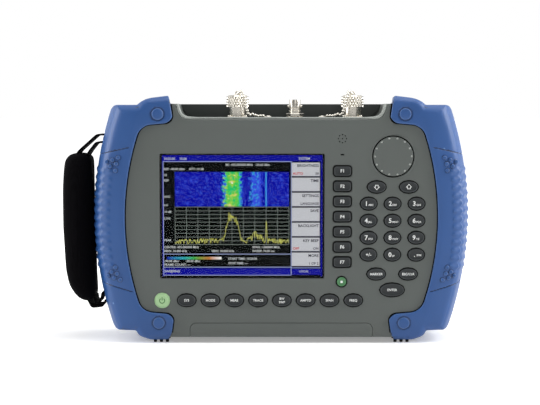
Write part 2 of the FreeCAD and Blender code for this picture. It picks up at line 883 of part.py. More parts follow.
def make_rear_case(shell):
    space = new_box("rear_space", "-case_reach - wall", "case_reach + wall", "case_split",
                    "case_back + wall", "0", "2 * mid_height")
    half = common("rear_half", shell, space)
    ears = [stand_ear("left_ear", "-(stand_half + gap + ear_width)"),
            stand_ear("right_ear", "stand_half + gap")]
    bosses = []
    holes = []
    for name, x, z in screw_places():
        bosses.append(new_prism("rear_boss_" + name, 8, "boss_radius", "case_back - wall / 2 - case_split",
                                x, "case_split", z, "Y"))
        holes.append(new_prism("screw_hole_" + name, 8, "screw_radius + screw_gap",
                               "case_back - case_split + 2 * wall", x, "case_split - wall", z, "Y"))
        holes.append(new_prism("screw_sink_" + name, 12, "screw_head_radius + gap",
                               "2 * screw_head_height + screw_sink", x,
                               "case_back - screw_sink - screw_head_height", z, "Y"))
    pin_hole = new_prism("stand_pin_hole", 12, "stand_pin_radius + stand_pin_gap",
                         "2 * (stand_half + 2 * ear_width)", "-(stand_half + 2 * ear_width)",
                         "case_back + stand_axis", "stand_hinge_z", "X")
    solid = fuse("rear_solid", half, *ears, *bosses)
    openings = doc.addObject("Part::Compound", "rear_openings")
    openings.Links = holes + [pin_hole]
    finish_node(cut("rear_case_form", solid, openings), "rear_case")


# Bumpers

def bumper_edge(radius, height, reach):
    """How far a bowed side reaches at a height above the middle."""
    return f"(sqrt({radius}^2 - ({height})^2) - {radius} + {reach})"


def side_at(height):
    return bumper_edge("bumper_side_radius", height, "bumper_reach")


def corner_points(x, height, turn):
    """The round at a lower corner in three short sides. turn is the angle between the corner's sides."""
    start = f"({x} - bumper_corner_round * tan({turn} / 2))"
    return [(f"{start} + bumper_corner_round * sin({turn} * {step} / 3)",
             f"{height} - bumper_corner_round * (1 - cos({turn} * {step} / 3))") for step in range(4)]


RIB_HALF = "(rib_pitch * rib_count / 2)"


def bumper_half(height, inner_end, outer_end):
    """The outline from the arm's raised end along the plateau and the side to the ribs."""
    stretch = f"((bumper_plateau + {RIB_HALF}) / 2)"
    end_turn = f"atan(({height} - bumper_plateau) / ({outer_end} - {inner_end}))"
    side_turn = f"atan((bumper_plateau - {stretch}) / ({side_at(stretch)} - {side_at('bumper_plateau')}))"
    half = [("arm_end + arm_lean", height)]
    half += corner_points(inner_end, height, end_turn)
    half.append((outer_end, "bumper_plateau"))
    half += corner_points(side_at("bumper_plateau"), "bumper_plateau", side_turn)
    return half + [(side_at(stretch), stretch), (side_at(RIB_HALF), RIB_HALF)]


def bumper_blank():
    """The right bumper's outline through its whole depth, with its outer edges rounded."""
    body = new_body("bumper_blank")
    foot = bumper_half("mid_height", "foot_inner_end", "foot_outer_end")
    knuckle = bumper_half("knuckle_height", "knuckle_inner_end", "knuckle_outer_end")
    inner = bumper_edge("bumper_inner_radius", "arm_inner", "bumper_inner_reach")
    arm = [("arm_end", "arm_inner"), (inner, "arm_inner")]
    points = [(x, f"mid_height - ({height})") for x, height in foot]
    points += [(x, f"mid_height + ({height})") for x, height in reversed(knuckle)]
    points += [(x, f"mid_height + ({height})") for x, height in arm]
    points += [(x, f"mid_height - ({height})") for x, height in reversed(arm)]
    sketch = front_sketch(body, "bumper_front", "bumper_outline")
    draw_outline(sketch, points, {len(points) - 3: "in bumper_inner_radius"})
    pad(body, sketch, "bumper_back - bumper_front", reverse=True)
    arm_corners = [(size(x), size(z)) for x, z in points[-4:]]
    for radius, spots in (("arm_round", (0, 3)), ("bumper_elbow_round", (1, 2))):
        tests = [corner_at(*arm_corners[spot]) for spot in spots]
        round_edges(body, radius, lambda edge: any(test(edge) for test in tests))
    flat_faces = at_depth(size("bumper_front"), size("bumper_back"))
    inside = size("bumper_inner_reach")
    arm_top = size("arm_end + arm_lean")
    low = size("mid_height - bumper_plateau")
    high = size("mid_height + bumper_plateau")

    def outer(edge):
        point = edge_middle(edge)
        return point.x > inside + 1 or (point.x > arm_top and not low + 1 < point.z < high - 1)

    round_edges(body, "bumper_edge_round", lambda edge: flat_faces(edge) and outer(edge))
    return body


BUMPER_HALF_DEPTH = "((bumper_back - bumper_front) / 2)"
CROWN_TURN = f"asin(({BUMPER_HALF_DEPTH} - bumper_crown_edge) / (bumper_crown_radius - bumper_crown_edge))"
CROWN_CENTRE = f"((bumper_crown_radius - bumper_crown_edge) * cos({CROWN_TURN}))"
CROWN_WIDTH = f"(bumper_crown_radius - {CROWN_CENTRE})"


def crown_points(reach, grow="0"):
    """The side's round profile from front to back: a wide arc with a narrow one at each end, all grown
    by the same amount. Each point has its distance from the axis that the bowed side turns about, and
    its depth."""
    middle = "(bumper_front + bumper_back) / 2"
    edge = f"(bumper_crown_edge + {grow})"
    wide = f"(bumper_crown_radius + {grow})"
    flat = f"({BUMPER_HALF_DEPTH} - bumper_crown_edge)"
    front, back = ([(f"{reach} - {CROWN_WIDTH} + {edge} * cos({turn} deg)",
                     f"{middle} + {side} * ({flat} + {edge} * sin({turn} deg))") for turn in turns]
                   for side, turns in ((-1, (90, 60)), (1, (60, 90))))
    across = [(f"{reach} - bumper_crown_radius + {wide} * cos({share} * {CROWN_TURN})",
               f"{middle} + {wide} * sin({share} * {CROWN_TURN})") for share in (-1, -0.4, 0.4, 1)]
    return front + across + back


def bumper_barrel():
    """The bowed side's outer form, open past the flat front and back."""
    flat = f"bumper_side_radius - {CROWN_WIDTH}"
    outline = [("0", "bumper_front - wall"), (flat, "bumper_front - wall"),
               *crown_points("bumper_side_radius"),
               (flat, "bumper_back + wall"), ("0", "bumper_back + wall")]
    return barrel("bumper_barrel", outline, "bumper_reach - bumper_side_radius")


def rib_section(body, height, grow, name):
    """The ribs' profile at a height, grown from the bumper's own, about the axis that they turn about."""
    sketch = top_sketch(body, height, name)
    root = f"bumper_side_radius - {CROWN_WIDTH} - wall"
    crown = crown_points("bumper_side_radius", f"({grow})")
    draw_outline(sketch, [(root, crown[0][1]), *crown, (root, crown[-1][1])])
    return sketch


def bumper_ribs():
    """Ribs in a row along the bowed side. Each rises from a valley to its ridge and falls to the next
    valley, round the side and both edges."""
    body = new_body("bumper_ribs")
    valley = "(rib_pitch / 2 + rib_overlap)"
    low = "rib_height - rib_depth"
    sections = [rib_section(body, f"-{valley}", low, "rib_lower_valley"),
                rib_section(body, "0", "rib_height", "rib_ridge"),
                rib_section(body, valley, low, "rib_upper_valley")]
    doc.recompute()
    rib = body.newObject("PartDesign::AdditiveLoft", "rib_loft")
    rib.Profile = sections[0]
    rib.Sections = sections[1:]
    rib.Ruled = True
    doc.recompute()
    pattern = body.newObject("PartDesign::PolarPattern", "rib_pattern")
    pattern.Originals = [rib]
    pattern.Axis = (sections[1], ["V_Axis"])
    sweep = "(rib_count - 1) * rib_pitch / bumper_side_radius * 180 / pi"
    bind(pattern, Angle=sweep, Occurrences="rib_count")
    body.Tip = pattern
    body.Placement = FreeCAD.Placement(FreeCAD.Vector(), FreeCAD.Rotation(-ALONG_Y, size(sweep) / 2))
    body.setExpression("Placement.Rotation.Angle", formula(f"({sweep}) / 2"))
    place(body, "bumper_reach - bumper_side_radius", "0", "mid_height")
    return body


def bumper_form(block):
    """A right bumper: blank, ribbed band and corner domes, hollowed to the case that it wraps."""
    band = new_box("bumper_band", f"bumper_reach - {CROWN_WIDTH}", "bumper_reach + wall",
                   "bumper_front - wall", "bumper_back + wall",
                   f"mid_height - {RIB_HALF}", f"mid_height + {RIB_HALF}")
    domes = []
    radius = "((dome_radius^2 + dome_proud^2) / (2 * dome_proud))"
    for level, z in (("upper", "mid_height + dome_height"), ("lower", "mid_height - dome_height")):
        dome = doc.addObject("Part::Sphere", f"{level}_dome")
        bind(dome, Radius=radius)
        place(dome, "dome_x", f"bumper_front - dome_proud + {radius}", z)
        domes.append(dome)
    blank = cut("bumper_plain", common("bumper_rounded", bumper_blank(), bumper_barrel()), band)
    solid = fuse("bumper_solid", blank, bumper_ribs(), *domes)
    return cut("bumper_form", solid, block)


def strap_slots():
    """Two slots at each end of the strap, joined behind a bar that the webbing passes round."""
    tools = []
    for level, height in (("upper", "slot_upper"), ("lower", "slot_lower")):
        surface = bumper_edge("bumper_side_radius", height, "bumper_reach")
        span = "(slot_bar / 2 + slot_height)"
        inside = f"-({surface} - slot_bar_depth - slot_recess)"
        middle = f"(mid_height + {height})"
        mouth = new_box(f"{level}_slot_mouth", f"-({surface} + wall)", inside, "-slot_width / 2",
                        "slot_width / 2", f"{middle} - {span}", f"{middle} + {span}")
        bar = new_box(f"{level}_slot_bar", f"-({surface} + 2 * wall)", f"-({surface} - slot_bar_depth)",
                      "-slot_width", "slot_width", f"{middle} - slot_bar / 2",
                      f"{middle} + slot_bar / 2")
        tools.append(cut(f"{level}_slot", mouth, bar))
    return tools


def make_bumpers(block):
    """The right bumper, and the left one as its mirror image with the slots for the strap."""
    form = bumper_form(block)
    right = doc.addObject("Part::Compound", "right_bumper_form")
    right.Links = [form]
    finish_node(right, "right_bumper")
    mirrored = doc.addObject("Part::Mirroring", "left_bumper_form")
    mirrored.Source = form
    mirrored.Normal = ALONG_X
    finish_node(cut("left_bumper_cut", mirrored, *strap_slots()), "left_bumper")


# Display

def make_display():
    half_width = "(window_width / 2 + window_border)"
    half_height = "(window_height / 2 + window_border)"
    window = new_box("window_pane", f"screen_x - {half_width}", f"screen_x + {half_width}",
                     FACE_BACK, f"{FACE_BACK} + window_thickness",
                     f"screen_z - {half_height}", f"screen_z + {half_height}")
    finish_node(window, "display_window")

    module = new_body("display_module_form")
    front = f"{FACE_BACK} + window_thickness + gap / 2"
    frame = front_sketch(module, front, "display_frame")
    draw_rectangle(frame, "screen_x - display_width / 2", "screen_x + display_width / 2",
                   "screen_z - display_height / 2", "screen_z + display_height / 2")
    pad(module, frame, "display_thickness", reverse=True)
    panel = front_sketch(module, front, "display_glass")
    half_width = "(window_width / 2 - screen_round)"
    half_height = "(window_height / 2 - screen_round)"
    draw_rectangle(panel, f"screen_x - {half_width}", f"screen_x + {half_width}",
                   f"screen_z - {half_height}", f"screen_z + {half_height}")
    pocket(module, panel, "bezel_step")
    finish_node(module, "display_module")


# Mat and board behind the keys

def keypad_outline(sketch, inset="0"):
    """The angled outline that covers the function row and the right-hand keys."""
    draw_outline(sketch, [(f"mat_left + {inset}", f"mat_bottom + {inset}"),
                          (f"mat_right - {inset}", f"mat_bottom + {inset}"),
                          (f"mat_right - {inset}", f"mat_top - {inset}"),
                          (f"mat_bend_x + {inset}", f"mat_top - {inset}"),
                          (f"mat_bend_x + {inset}", f"mat_bend_z - {inset}"),
                          (f"mat_left + {inset}", f"mat_bend_z - {inset}")])


def keypad_clearances(name, front, depth):
    """Room in a layer for the case bosses on the right, one post and the encoder's bush."""
    spots = [(label, x, z, "(boss_radius + gap)") for label, x, z in screw_places() if x == "screw_x"]
    spots.append(("post", "post_right", "post_bottom", "(post_radius + gap)"))
    rooms = [new_box(f"{name}_room_{label}", f"{x} - {half}", f"{x} + {half}", f"{front} - wall",
                     f"{front} + {depth} + wall", f"{z} - {half}", f"{z} + {half}")
             for label, x, z, half in spots]
    rooms.append(new_prism(f"{name}_room_bush", 12, "encoder_bush + gap", f"{depth} + 2 * wall", "knob_x",
                           f"{front} - wall", "knob_z", "Y"))
    return rooms


def make_keypad_layers():
    mat = new_body("keypad_mat_form")
    sketch = front_sketch(mat, FACE_BACK, "mat_outline")
    keypad_outline(sketch)
    pad(mat, sketch, f"{BOARD_FRONT} - {FACE_BACK}", reverse=True)
    room = front_sketch(mat, FACE_BACK, "mat_room")
    keypad_outline(room, "mat_rim")
    pocket(mat, room, f"{MAT_SHEET} - {FACE_BACK}")
    rooms = keypad_clearances("mat", FACE_BACK, f"({BOARD_FRONT} - {FACE_BACK})")
    finish_node(cut("keypad_mat_cut", mat, *rooms), "keypad_mat")

    board = new_body("keypad_board_form")
    sketch = front_sketch(board, BOARD_FRONT, "board_outline")
    keypad_outline(sketch)
    pad(board, sketch, "board_thickness", reverse=True)
    rooms = keypad_clearances("board", BOARD_FRONT, "board_thickness")
    finish_node(cut("keypad_board_cut", board, *rooms), "keypad_board")


# Knob and encoder

def knob_outline():
    """The knob's rim: for each notch, three points on the rim and one at the notch's bottom."""
    points = []
    count = round(size("knob_notch_count"))
    for index in range(count):
        for part, inset in ((0, "knob_notch_depth"), (1, "0"), (2, "0"), (3, "0")):
            angle = f"({4 * index + part} * 90 deg / {count})"
            radius = f"(knob_radius - {inset})"
            points.append((f"{radius} * cos{angle}", f"{radius} * sin{angle}"))
    return points


def make_knob():
    knob = new_body("knob_form")
    face = front_sketch(knob, KNOB_FRONT, "knob_face")
    draw_outline(face, knob_outline())
    pad(knob, face, "knob_thickness", reverse=True)
    round_edges(knob, "knob_edge", at_depth(size(KNOB_FRONT)), "Chamfer")
    bore = front_sketch(knob, KNOB_BACK, "knob_bore")
    draw_circle(bore, "0", "0", "shaft_radius + shaft_gap")
    pocket(knob, bore, "shaft_engagement + gap", reverse=True)
    finish_node(knob, "knob", "knob_x", "knob_z")


def make_encoder():
    body = new_box("encoder_body", "knob_x - encoder_side / 2", "knob_x + encoder_side / 2",
                   BOARD_BACK, f"{BOARD_BACK} + encoder_depth",
                   "knob_z - encoder_side / 2", "knob_z + encoder_side / 2")
    bush = new_prism("encoder_bushing", 12, "encoder_bush", f"{BOARD_BACK} - {KNOB_BACK}", "knob_x",
                     f"{KNOB_BACK} + gap", "knob_z", "Y")
    shaft = new_cylinder("encoder_shaft", "shaft_radius", "shaft_engagement + wall", "knob_x",
                         f"{KNOB_BACK} - shaft_engagement", "knob_z", "Y")
    finish_node(fuse("encoder_form", body, bush, shaft), "knob_encoder")


# Connector bay

def make_connector_panel():
    """The dark plate that closes the bay's floor and stands up behind the connectors. Its lower corners
    are cut off where the bay's are round."""
    floor = new_box("panel_floor_plate", "-(bay_half_floor - gap)", "bay_half_floor - gap",
                    "case_front + wall + gap", "bay_back + panel_back", "bay_lip - panel_floor", "bay_lip")
    back = new_body("panel_back_plate")
    sketch = front_sketch(back, "bay_back", "panel_back_outline")
    turn = f"atan(({CASE_TOP} - bay_lip) / (bay_half_top - bay_half_floor))"
    round_reach = f"(bay_corner_round * tan({turn} / 2))"
    floor_end = f"bay_half_floor - gap - {round_reach}"
    side_start = f"bay_half_floor - 2 * gap + {round_reach} * cos({turn})"
    half = [(floor_end, "bay_lip - panel_floor"), (floor_end, "bay_lip"),
            (side_start, f"bay_lip + {round_reach} * sin({turn})"), ("bay_half_top - 2 * gap", CASE_TOP)]
    draw_outline(sketch, half + [(f"-({x})", z) for x, z in reversed(half)])
    pad(back, sketch, "panel_back", reverse=True)
    holes = [new_prism(name + "_hole", 12, f"{radius} + gap", "2 * panel_floor", x, "connector_y",
                       "bay_lip - 1.5 * panel_floor")
             for name, radius, x in (("rf_output", "rf_shank_radius", "rf_output_x"),
                                     ("rf_input", "rf_shank_radius", "rf_input_x"),
                                     ("reference", "bnc_barrel_radius", "reference_x"))]
    holes += [socket_block(kind, grow="gap", low="bay_lip - 1.5 * panel_floor", high="bay_lip + panel_floor")
              for kind in ("lan", "usb", "mini", "phone", "power")]
    finish_node(cut("panel_form", fuse("panel_solid", floor, back), *holes), "connector_panel")


def raised(body, outline, low, high, name):
    """Add an outline between two heights to a body."""
    sketch = top_sketch(body, low, name)
    draw_outline(sketch, outline)
    pad(body, sketch, f"({high}) - ({low})")


def sunk(body, outline, top, depth, name):
    """Cut an outline down from a height into a body."""
    sketch = top_sketch(body, top, name)
    draw_outline(sketch, outline)
    pocket(body, sketch, depth)


def make_rf_connector(name, x):
    """A barrel with a bore and centre contact on a square flange, and the shank below the panel."""
    connector = new_body(name + "_form")
    raised(connector, regular_points(4, "rf_flange / sqrt(2)", "0", "0", 45), "bay_lip",
           "bay_lip + rf_flange_thickness", name + "_flange")
    raised(connector, regular_points(24, "rf_barrel_radius", "0", "0"), "bay_lip", "rf_barrel_top",
           name + "_barrel")
    raised(connector, regular_points(12, "rf_shank_radius", "0", "0"), "shank_bottom",
           "bay_lip + rf_flange_thickness", name + "_shank")
    sunk(connector, regular_points(16, "rf_bore_radius", "0", "0"), "rf_barrel_top", "rf_bore_depth",
         name + "_bore")
    raised(connector, regular_points(8, "rf_contact_radius", "0", "0"), "rf_barrel_top - rf_bore_depth",
           "rf_barrel_top - rf_bore_depth / 4", name + "_contact")
    finish_node(connector, name, x, y="connector_y")


def make_cap(name, x):
    """A dust cap over the barrel, with a ring on top for its chain."""
    cap = new_body(name + "_form")
    raised(cap, regular_points(24, "cap_radius", "0", "0"), "cap_bottom", "cap_top", name + "_outside")
    room = top_sketch(cap, "cap_bottom", name + "_room")
    draw_outline(room, regular_points(24, "rf_barrel_radius + cap_inner_gap", "0", "0"))
    pocket(cap, room, "rf_barrel_top + gap - cap_bottom", reverse=True)
    ring = front_sketch(cap, "-cap_ring_thickness / 2", name + "_ring")
    centre = "cap_top + cap_ring_radius - cap_ring_sink"
    draw_outline(ring, regular_points(12, "cap_ring_radius", "0", centre))
    pad(cap, ring, "cap_ring_thickness", reverse=True)
    hole = front_sketch(cap, "-cap_ring_thickness / 2", name + "_ring_hole")
    draw_outline(hole, regular_points(12, "cap_ring_hole", "0", centre))
    pocket(cap, hole, "cap_ring_thickness")
    finish_node(cap, name, x, y="connector_y")


def make_reference_connector():
    """A bayonet connector: washer, hexagon nut, barrel with a bore and contact, and two lugs."""
    connector = new_body("reference_form")
    washer = "bay_lip + bnc_washer_height"
    contact_top = "bnc_top - bnc_bore_depth / 4"
    raised(connector, regular_points(20, "bnc_barrel_radius", "0", "0"), "shank_bottom", "bnc_top",
           "reference_barrel")
    raised(connector, regular_points(20, "bnc_washer_radius", "0", "0"), "bay_lip", washer,
           "reference_washer")
    raised(connector, regular_points(6, "bnc_nut_width / sqrt(3)", "0", "0"), washer,
           f"{washer} + bnc_nut_height", "reference_nut")
    sunk(connector, regular_points(20, "bnc_bore_radius", "0", "0"), "bnc_top", "bnc_bore_depth",
         "reference_bore")
    raised(connector, regular_points(8, "bnc_contact_radius", "0", "0"), "bnc_top - bnc_bore_depth",
           contact_top, "reference_contact")
    wall_middle = "(bnc_barrel_radius + bnc_bore_radius) / 2"
    lugs = [new_prism(f"{side}_lug", 8, "bnc_lug_radius", f"bnc_lug_reach - {wall_middle}", start, "0",
                      "bnc_lug_z", "X")
            for side, start in (("left", "-bnc_lug_reach"), ("right", wall_middle))]
    solid = fuse("reference_solid", connector, *lugs)
    finish_node(solid, "reference_connector", "reference_x", y="connector_y")


def socket_block(kind, grow="0", low="socket_floor", high="bay_lip"):
    """A socket's housing, grown all round for the hole that it stands in."""
    half_width = f"({kind}_width / 2 + {grow})"
    half_depth = f"({kind}_depth / 2 + {grow})"
    return new_box(f"{kind}_block", f"{kind}_x - {half_width}", f"{kind}_x + {half_width}",
                   f"{kind}_y - {half_depth}", f"{kind}_y + {half_depth}", low, high)


def make_sockets():
    """Network, two USB, headphone and power sockets, each a housing with its own port."""
    sockets = []
    for kind, reach in (("lan", "lan_port_reach"), ("usb", "lan_port_reach"), ("mini", "mini_port_reach")):
        half_width = f"{kind}_port_width / 2"
        half_depth = f"{kind}_port_depth / 2"
        port = new_box(f"{kind}_port", f"{kind}_x - {half_width}", f"{kind}_x + {half_width}",
                       f"{kind}_y - {half_depth}", f"{kind}_y + {half_depth}",
                       f"bay_lip - {reach}", "bay_lip + wall")
        sockets.append(cut(f"{kind}_socket", socket_block(kind), port))
    plug_hole = new_cylinder("phone_port", "phone_bore", "phone_bore_depth + wall", "phone_x", "phone_y",
                             "bay_lip - phone_bore_depth")
    sockets.append(cut("phone_socket", socket_block("phone"), plug_hole))
    power_hole = new_prism("power_port", 16, "power_bore", "power_bore_depth + wall", "power_x", "power_y",
                           "bay_lip - power_bore_depth")
    sockets.append(cut("power_socket", socket_block("power"), power_hole))
    tongue = new_box("usb_tongue_bar", "usb_x - usb_port_width / 2 + usb_tongue / 2",
                     "usb_x + usb_port_width / 2 - usb_tongue / 2", "usb_y - usb_port_depth / 2",
                     "usb_y - usb_port_depth / 2 + usb_tongue", "bay_lip - lan_port_reach - gap",
                     "bay_lip - usb_tongue")
    pin = new_prism("power_pin_bar", 8, "power_pin", "power_bore_depth - power_pin", "power_x", "power_y",
                    "bay_lip - power_bore_depth - gap")
    sockets[1] = fuse("usb_with_tongue", sockets[1], tongue)
    sockets[4] = fuse("power_with_pin", sockets[4], pin)
    group = doc.addObject("Part::Compound", "sockets")
    group.Links = sockets
    finish_node(group, "io_sockets")


# Chains of the dust caps

def chain_route(cap_x, side):
    """A chain from the cap's ring, down in front of the cap and along the floor to its eyelet. Each
    point is how far along the bay, across it and up it lies, in millimetres."""
    x = size(cap_x)
    y = size("connector_y")
    floor = size("bay_lip + chain_thickness / 2")
    ring = size("cap_top + cap_ring_radius - cap_ring_sink")
    clear = size("cap_radius + chain_thickness")
    spots = [(0.6, -1.6, ring + 0.4), (1.6, -4.6, ring + 0.9), (3.2, -7.9, ring + 0.9),
             (5.1, -10.9, ring - 1.5), (6.3, -clear, ring - 4.8), (7.3, -clear - 0.9, ring - 9.0),
             (7.8, -clear - 0.7, ring - 13.5), (8.4, -clear + 0.1, floor + 3.2),
             (10.0, -clear + 1.3, floor + 0.8), (13.0, -8.6, floor + 0.1), (17.0, -6.2, floor + 0.1),
             (size("chain_run"), -4.2, floor + 0.1)]
    return [FreeCAD.Vector(x + side * ahead, y + across, height) for ahead, across, height in spots]


def spokes(count):
    """Unit vectors at even steps round a circle, the first one again at the end."""
    turns = [2 * math.pi * index / count for index in range(count + 1)]
    return [FreeCAD.Vector(math.cos(turn), math.sin(turn), 0) for turn in turns]


def make_chains():
    """The two chains as six-sided tubes, with the eyelets that fix them to the bay floor."""
    pieces = []
    sides = 6
    for cap_x, side in (("rf_output_x", 1), ("rf_input_x", -1)):
        points = chain_route(cap_x, side)
        start = FreeCAD.Rotation(ALONG_Z, points[1] - points[0])
        radius = size("chain_thickness / 2")
        corners = [points[0] + start.multVec(spoke * radius) for spoke in spokes(sides)]
        route = Part.makePolygon(points)
        pieces.append(route.makePipeShell([Part.makePolygon(corners)], True, False, 1))
        centre_x = points[-1].x + side * size("eyelet_radius + gap")
        centre = FreeCAD.Vector(centre_x, points[-1].y, size("bay_lip"))
        disc = [centre + spoke * size("eyelet_radius") for spoke in spokes(2 * sides)]
        pieces.append(Part.Face(Part.makePolygon(disc)).extrude(ALONG_Z * size("eyelet_height")))
    chains = doc.addObject("Part::Feature", "chains")
    chains.Shape = Part.makeCompound(pieces)
    finish_node(chains, "cap_chains")


# Boards and modules inside

def make_boards():
    board = new_box("main_board_plate", "-main_board_half", "main_board_half", "main_board_y",
                    MAIN_BOARD_BACK, "main_board_bottom", "main_board_top")
    finish_node(board, "main_board")
    case = new_box("rf_module_case", "rf_module_left", "rf_module_right", MAIN_BOARD_BACK,
                   f"{MAIN_BOARD_BACK} + rf_module_depth", "rf_module_bottom", "rf_module_top")
    lid = new_box("rf_module_lid", "rf_module_left + shield_step", "rf_module_right - shield_step",
                  MAIN_BOARD_BACK, f"{MAIN_BOARD_BACK} + rf_module_depth + shield_step",
                  "rf_module_bottom + shield_step", "rf_module_top - shield_step")
    finish_node(fuse("rf_module_form", case, lid), "rf_module")


# Screws

def make_screws():
    screws = []
    for name, x, z in screw_places():
        head = new_prism("screw_head_" + name, 12, "screw_head_radius", "screw_head_height", x,
                         "case_back - screw_sink - screw_head_height", z, "Y")
        shank = new_prism("screw_shank_" + name, 8, "screw_radius",
                          "case_back - screw_sink - screw_head_height / 2 - case_split + screw_grip",
                          x, "case_split - screw_grip", z, "Y")
        screws.append(fuse("screw_" + name, head, shank))
    group = doc.addObject("Part::Compound", "screws")
    group.Links = screws
    finish_node(group, "case_screws")


# Battery and its door

def make_battery():
    pack = new_body("battery_form")
    sketch = top_sketch(pack, f"{CASE_BOTTOM} + wall + gap", "battery_outline")
    draw_rectangle(sketch, "-battery_width / 2", "battery_width / 2", "battery_y - battery_depth / 2",
                   "battery_y + battery_depth / 2")
    pad(pack, sketch, "battery_height")
    round_edges(pack, "battery_round", lambda edge: is_straight(edge, ALONG_Z))
    finish_node(pack, "battery_pack")


def make_battery_door():
    """A plate under the battery with a lip on the front face, held by tongues along its back edge."""
    lip = new_body("door_lip")
    sketch = front_sketch(lip, "case_front", "door_lip_outline")
    draw_rectangle(sketch, "-door_half", "door_half", CASE_BOTTOM, f"{CASE_BOTTOM} + door_lip_height")
    pad(lip, sketch, "wall", reverse=True)
    top = size(f"{CASE_BOTTOM} + door_lip_height")
    round_edges(lip, "door_round", lambda edge: is_straight(edge, ALONG_Y)
                and abs(edge_middle(edge).z - top) < NEAR)
    plate = new_box("door_plate", "-door_half", "door_half", "case_front", "door_back", CASE_BOTTOM,
                    f"{CASE_BOTTOM} + wall")
    finish_node(fuse("door_form", lip, plate, *door_tongues("tongue")), "battery_door")


# Tilt stand

def make_stand():
    """A flat bail with a rounded head and a pin at the top of each leg."""
    bail = new_body("stand_bail")
    inner = "(stand_half - stand_bar)"
    front = "case_back + stand_axis - stand_thickness / 2"
    sketch = front_sketch(bail, front, "stand_outline")
    draw_outline(sketch, [("-stand_half", "stand_foot_z"), ("stand_half", "stand_foot_z"),
                          ("stand_half", "stand_hinge_z"), (inner, "stand_hinge_z"),
                          (inner, "stand_foot_z + stand_bar"), (f"-{inner}", "stand_foot_z + stand_bar"),
                          (f"-{inner}", "stand_hinge_z"), ("-stand_half", "stand_hinge_z")])
    pad(bail, sketch, "stand_thickness", reverse=True)
    foot = size("stand_foot_z")
    half = size("stand_half")
    round_edges(bail, "stand_corner_round",
                lambda edge: corner_at(half, foot)(edge) or corner_at(-half, foot)(edge))
    pieces = [bail]
    for side, head_x, pin_x in (("left", "-stand_half", "-(stand_half + stand_pin_length)"),
                                ("right", inner, "stand_half - gap")):
        pieces.append(new_prism(f"{side}_stand_head", 16, "stand_thickness / 2", "stand_bar", head_x,
                                "case_back + stand_axis", "stand_hinge_z", "X"))
        pieces.append(new_prism(f"{side}_stand_pin", 12, "stand_pin_radius", "stand_pin_length + gap", pin_x,
                                "case_back + stand_axis", "stand_hinge_z", "X"))
    finish_node(fuse("stand_form", *pieces), "tilt_stand")


# Hand strap

def pad_sections():
    """Height, inner face, thickness and depth of the pad, from its bottom to its top. It hangs close
    to the ribs, swells at the middle and draws in at its sewn ends. Each line holds a height, and shares
    of the pad's thickness, for its inner face and its own thickness, and of its depth."""
    form = (("pad_bottom", 1.06, 0.68, 0.72),
            ("pad_bottom + pad_collar", 1.1, 0.86, 0.86),
            ("pad_bottom + pad_shoulder", 1.05, 0.97, 0.97),
            ("(pad_bottom + pad_top) / 2", 1.0, 1.0, 1.0),
            ("pad_top - pad_shoulder", 1.0, 0.98, 0.98),
            ("pad_top - pad_collar", 1.03, 0.88, 0.88),
            ("pad_top", 0.98, 0.68, 0.72))
    return [(height, f"pad_outer - {inner} * pad_thickness", f"{thick} * pad_thickness",
             f"{deep} * pad_depth") for height, inner, thick, deep in form]


def pad_outline(inner, thickness, depth):
    """Points round the pad at one height: a rectangle with well-rounded corners."""
    corner = f"(pad_corner_share * {thickness})"
    turns = (0, 45, 90)
    middle = f"(-({inner}) - {thickness} / 2)"
    sides = ((1, 1), (-1, 1), (-1, -1), (1, -1))
    half_width = f"({thickness} / 2 - {corner})"
    half_depth = f"(({depth}) / 2 - {corner})"
    return [(f"{middle} + {side_x} * {half_width} + {corner} * cos({90 * quarter + turn} deg)",
             f"{side_y} * {half_depth} + {corner} * sin({90 * quarter + turn} deg)")
            for quarter, (side_x, side_y) in enumerate(sides) for turn in turns]


def make_strap_pad():
    body = new_body("pad_form")
    sketches = []
    for index, (z, *section) in enumerate(pad_sections()):
        sketch = top_sketch(body, z, f"pad_section_{index + 1}")
        draw_outline(sketch, pad_outline(*section))
        sketches.append(sketch)
    doc.recompute()
    loft = body.newObject("PartDesign::AdditiveLoft", "pad_loft")
    loft.Profile = sketches[0]
    loft.Sections = sketches[1:]
    loft.Ruled = True
    finish_node(body, "strap_pad")


def ribbon(points, thickness, width):
    """A flat band of even thickness that follows points in X and Z, centred on the middle of the depth."""
    sides = ([], [])
    for index, point in enumerate(points):
        before = points[max(index - 1, 0)]
        after = points[min(index + 1, len(points) - 1)]
        first = (point - before).normalize() if index else (after - point).normalize()
        second = (after - point).normalize() if index < len(points) - 1 else first
        normal = FreeCAD.Vector(-(first + second).z, 0, (first + second).x).normalize()
        stretch = thickness / 2 / normal.dot(FreeCAD.Vector(-first.z, 0, first.x))
        for side, sign in zip(sides, (1, -1)):
            side.append(point + normal * (sign * stretch) - ALONG_Y * (width / 2))
    outline = sides[0] + sides[1][::-1]
    return Part.Face(Part.makePolygon(outline + outline[:1])).extrude(ALONG_Y * width)


def webbing_route(level):
    """The band from the pad, round the bar in the bumper and back to the pad."""
    height = "slot_" + level
    surface = size(bumper_edge("bumper_side_radius", height, "bumper_reach"))
    back = -(surface - size("slot_bar_depth + slot_recess / 2"))
    middle = size(f"mid_height + {height}")
    apart = size("(slot_bar + slot_height) / 2")
    outer = size("pad_outer")
    if level == "upper":
        end = size("pad_top + gap + webbing_thickness / 2")
        return [(23.2 - outer, end), (-surface - 4.9, middle - apart), (back, middle - apart),
                (back, middle + apart), (-surface - 4.2, middle + apart), (14.5 - outer, end)]
    end = size("pad_bottom - gap - webbing_thickness / 2")
    return [(22.0 - outer, end), (-surface - 5.9, end + 0.4), (-surface - 3.2, middle + apart - 4.1),
            (-surface - 1.6, middle + apart), (back, middle + apart), (back, middle - apart),
            (-surface + 1.2, middle - apart), (-surface - 3.5, middle - apart - 5.4),
            (15.5 - outer, end - 3.2), (13.0 - outer, end)]


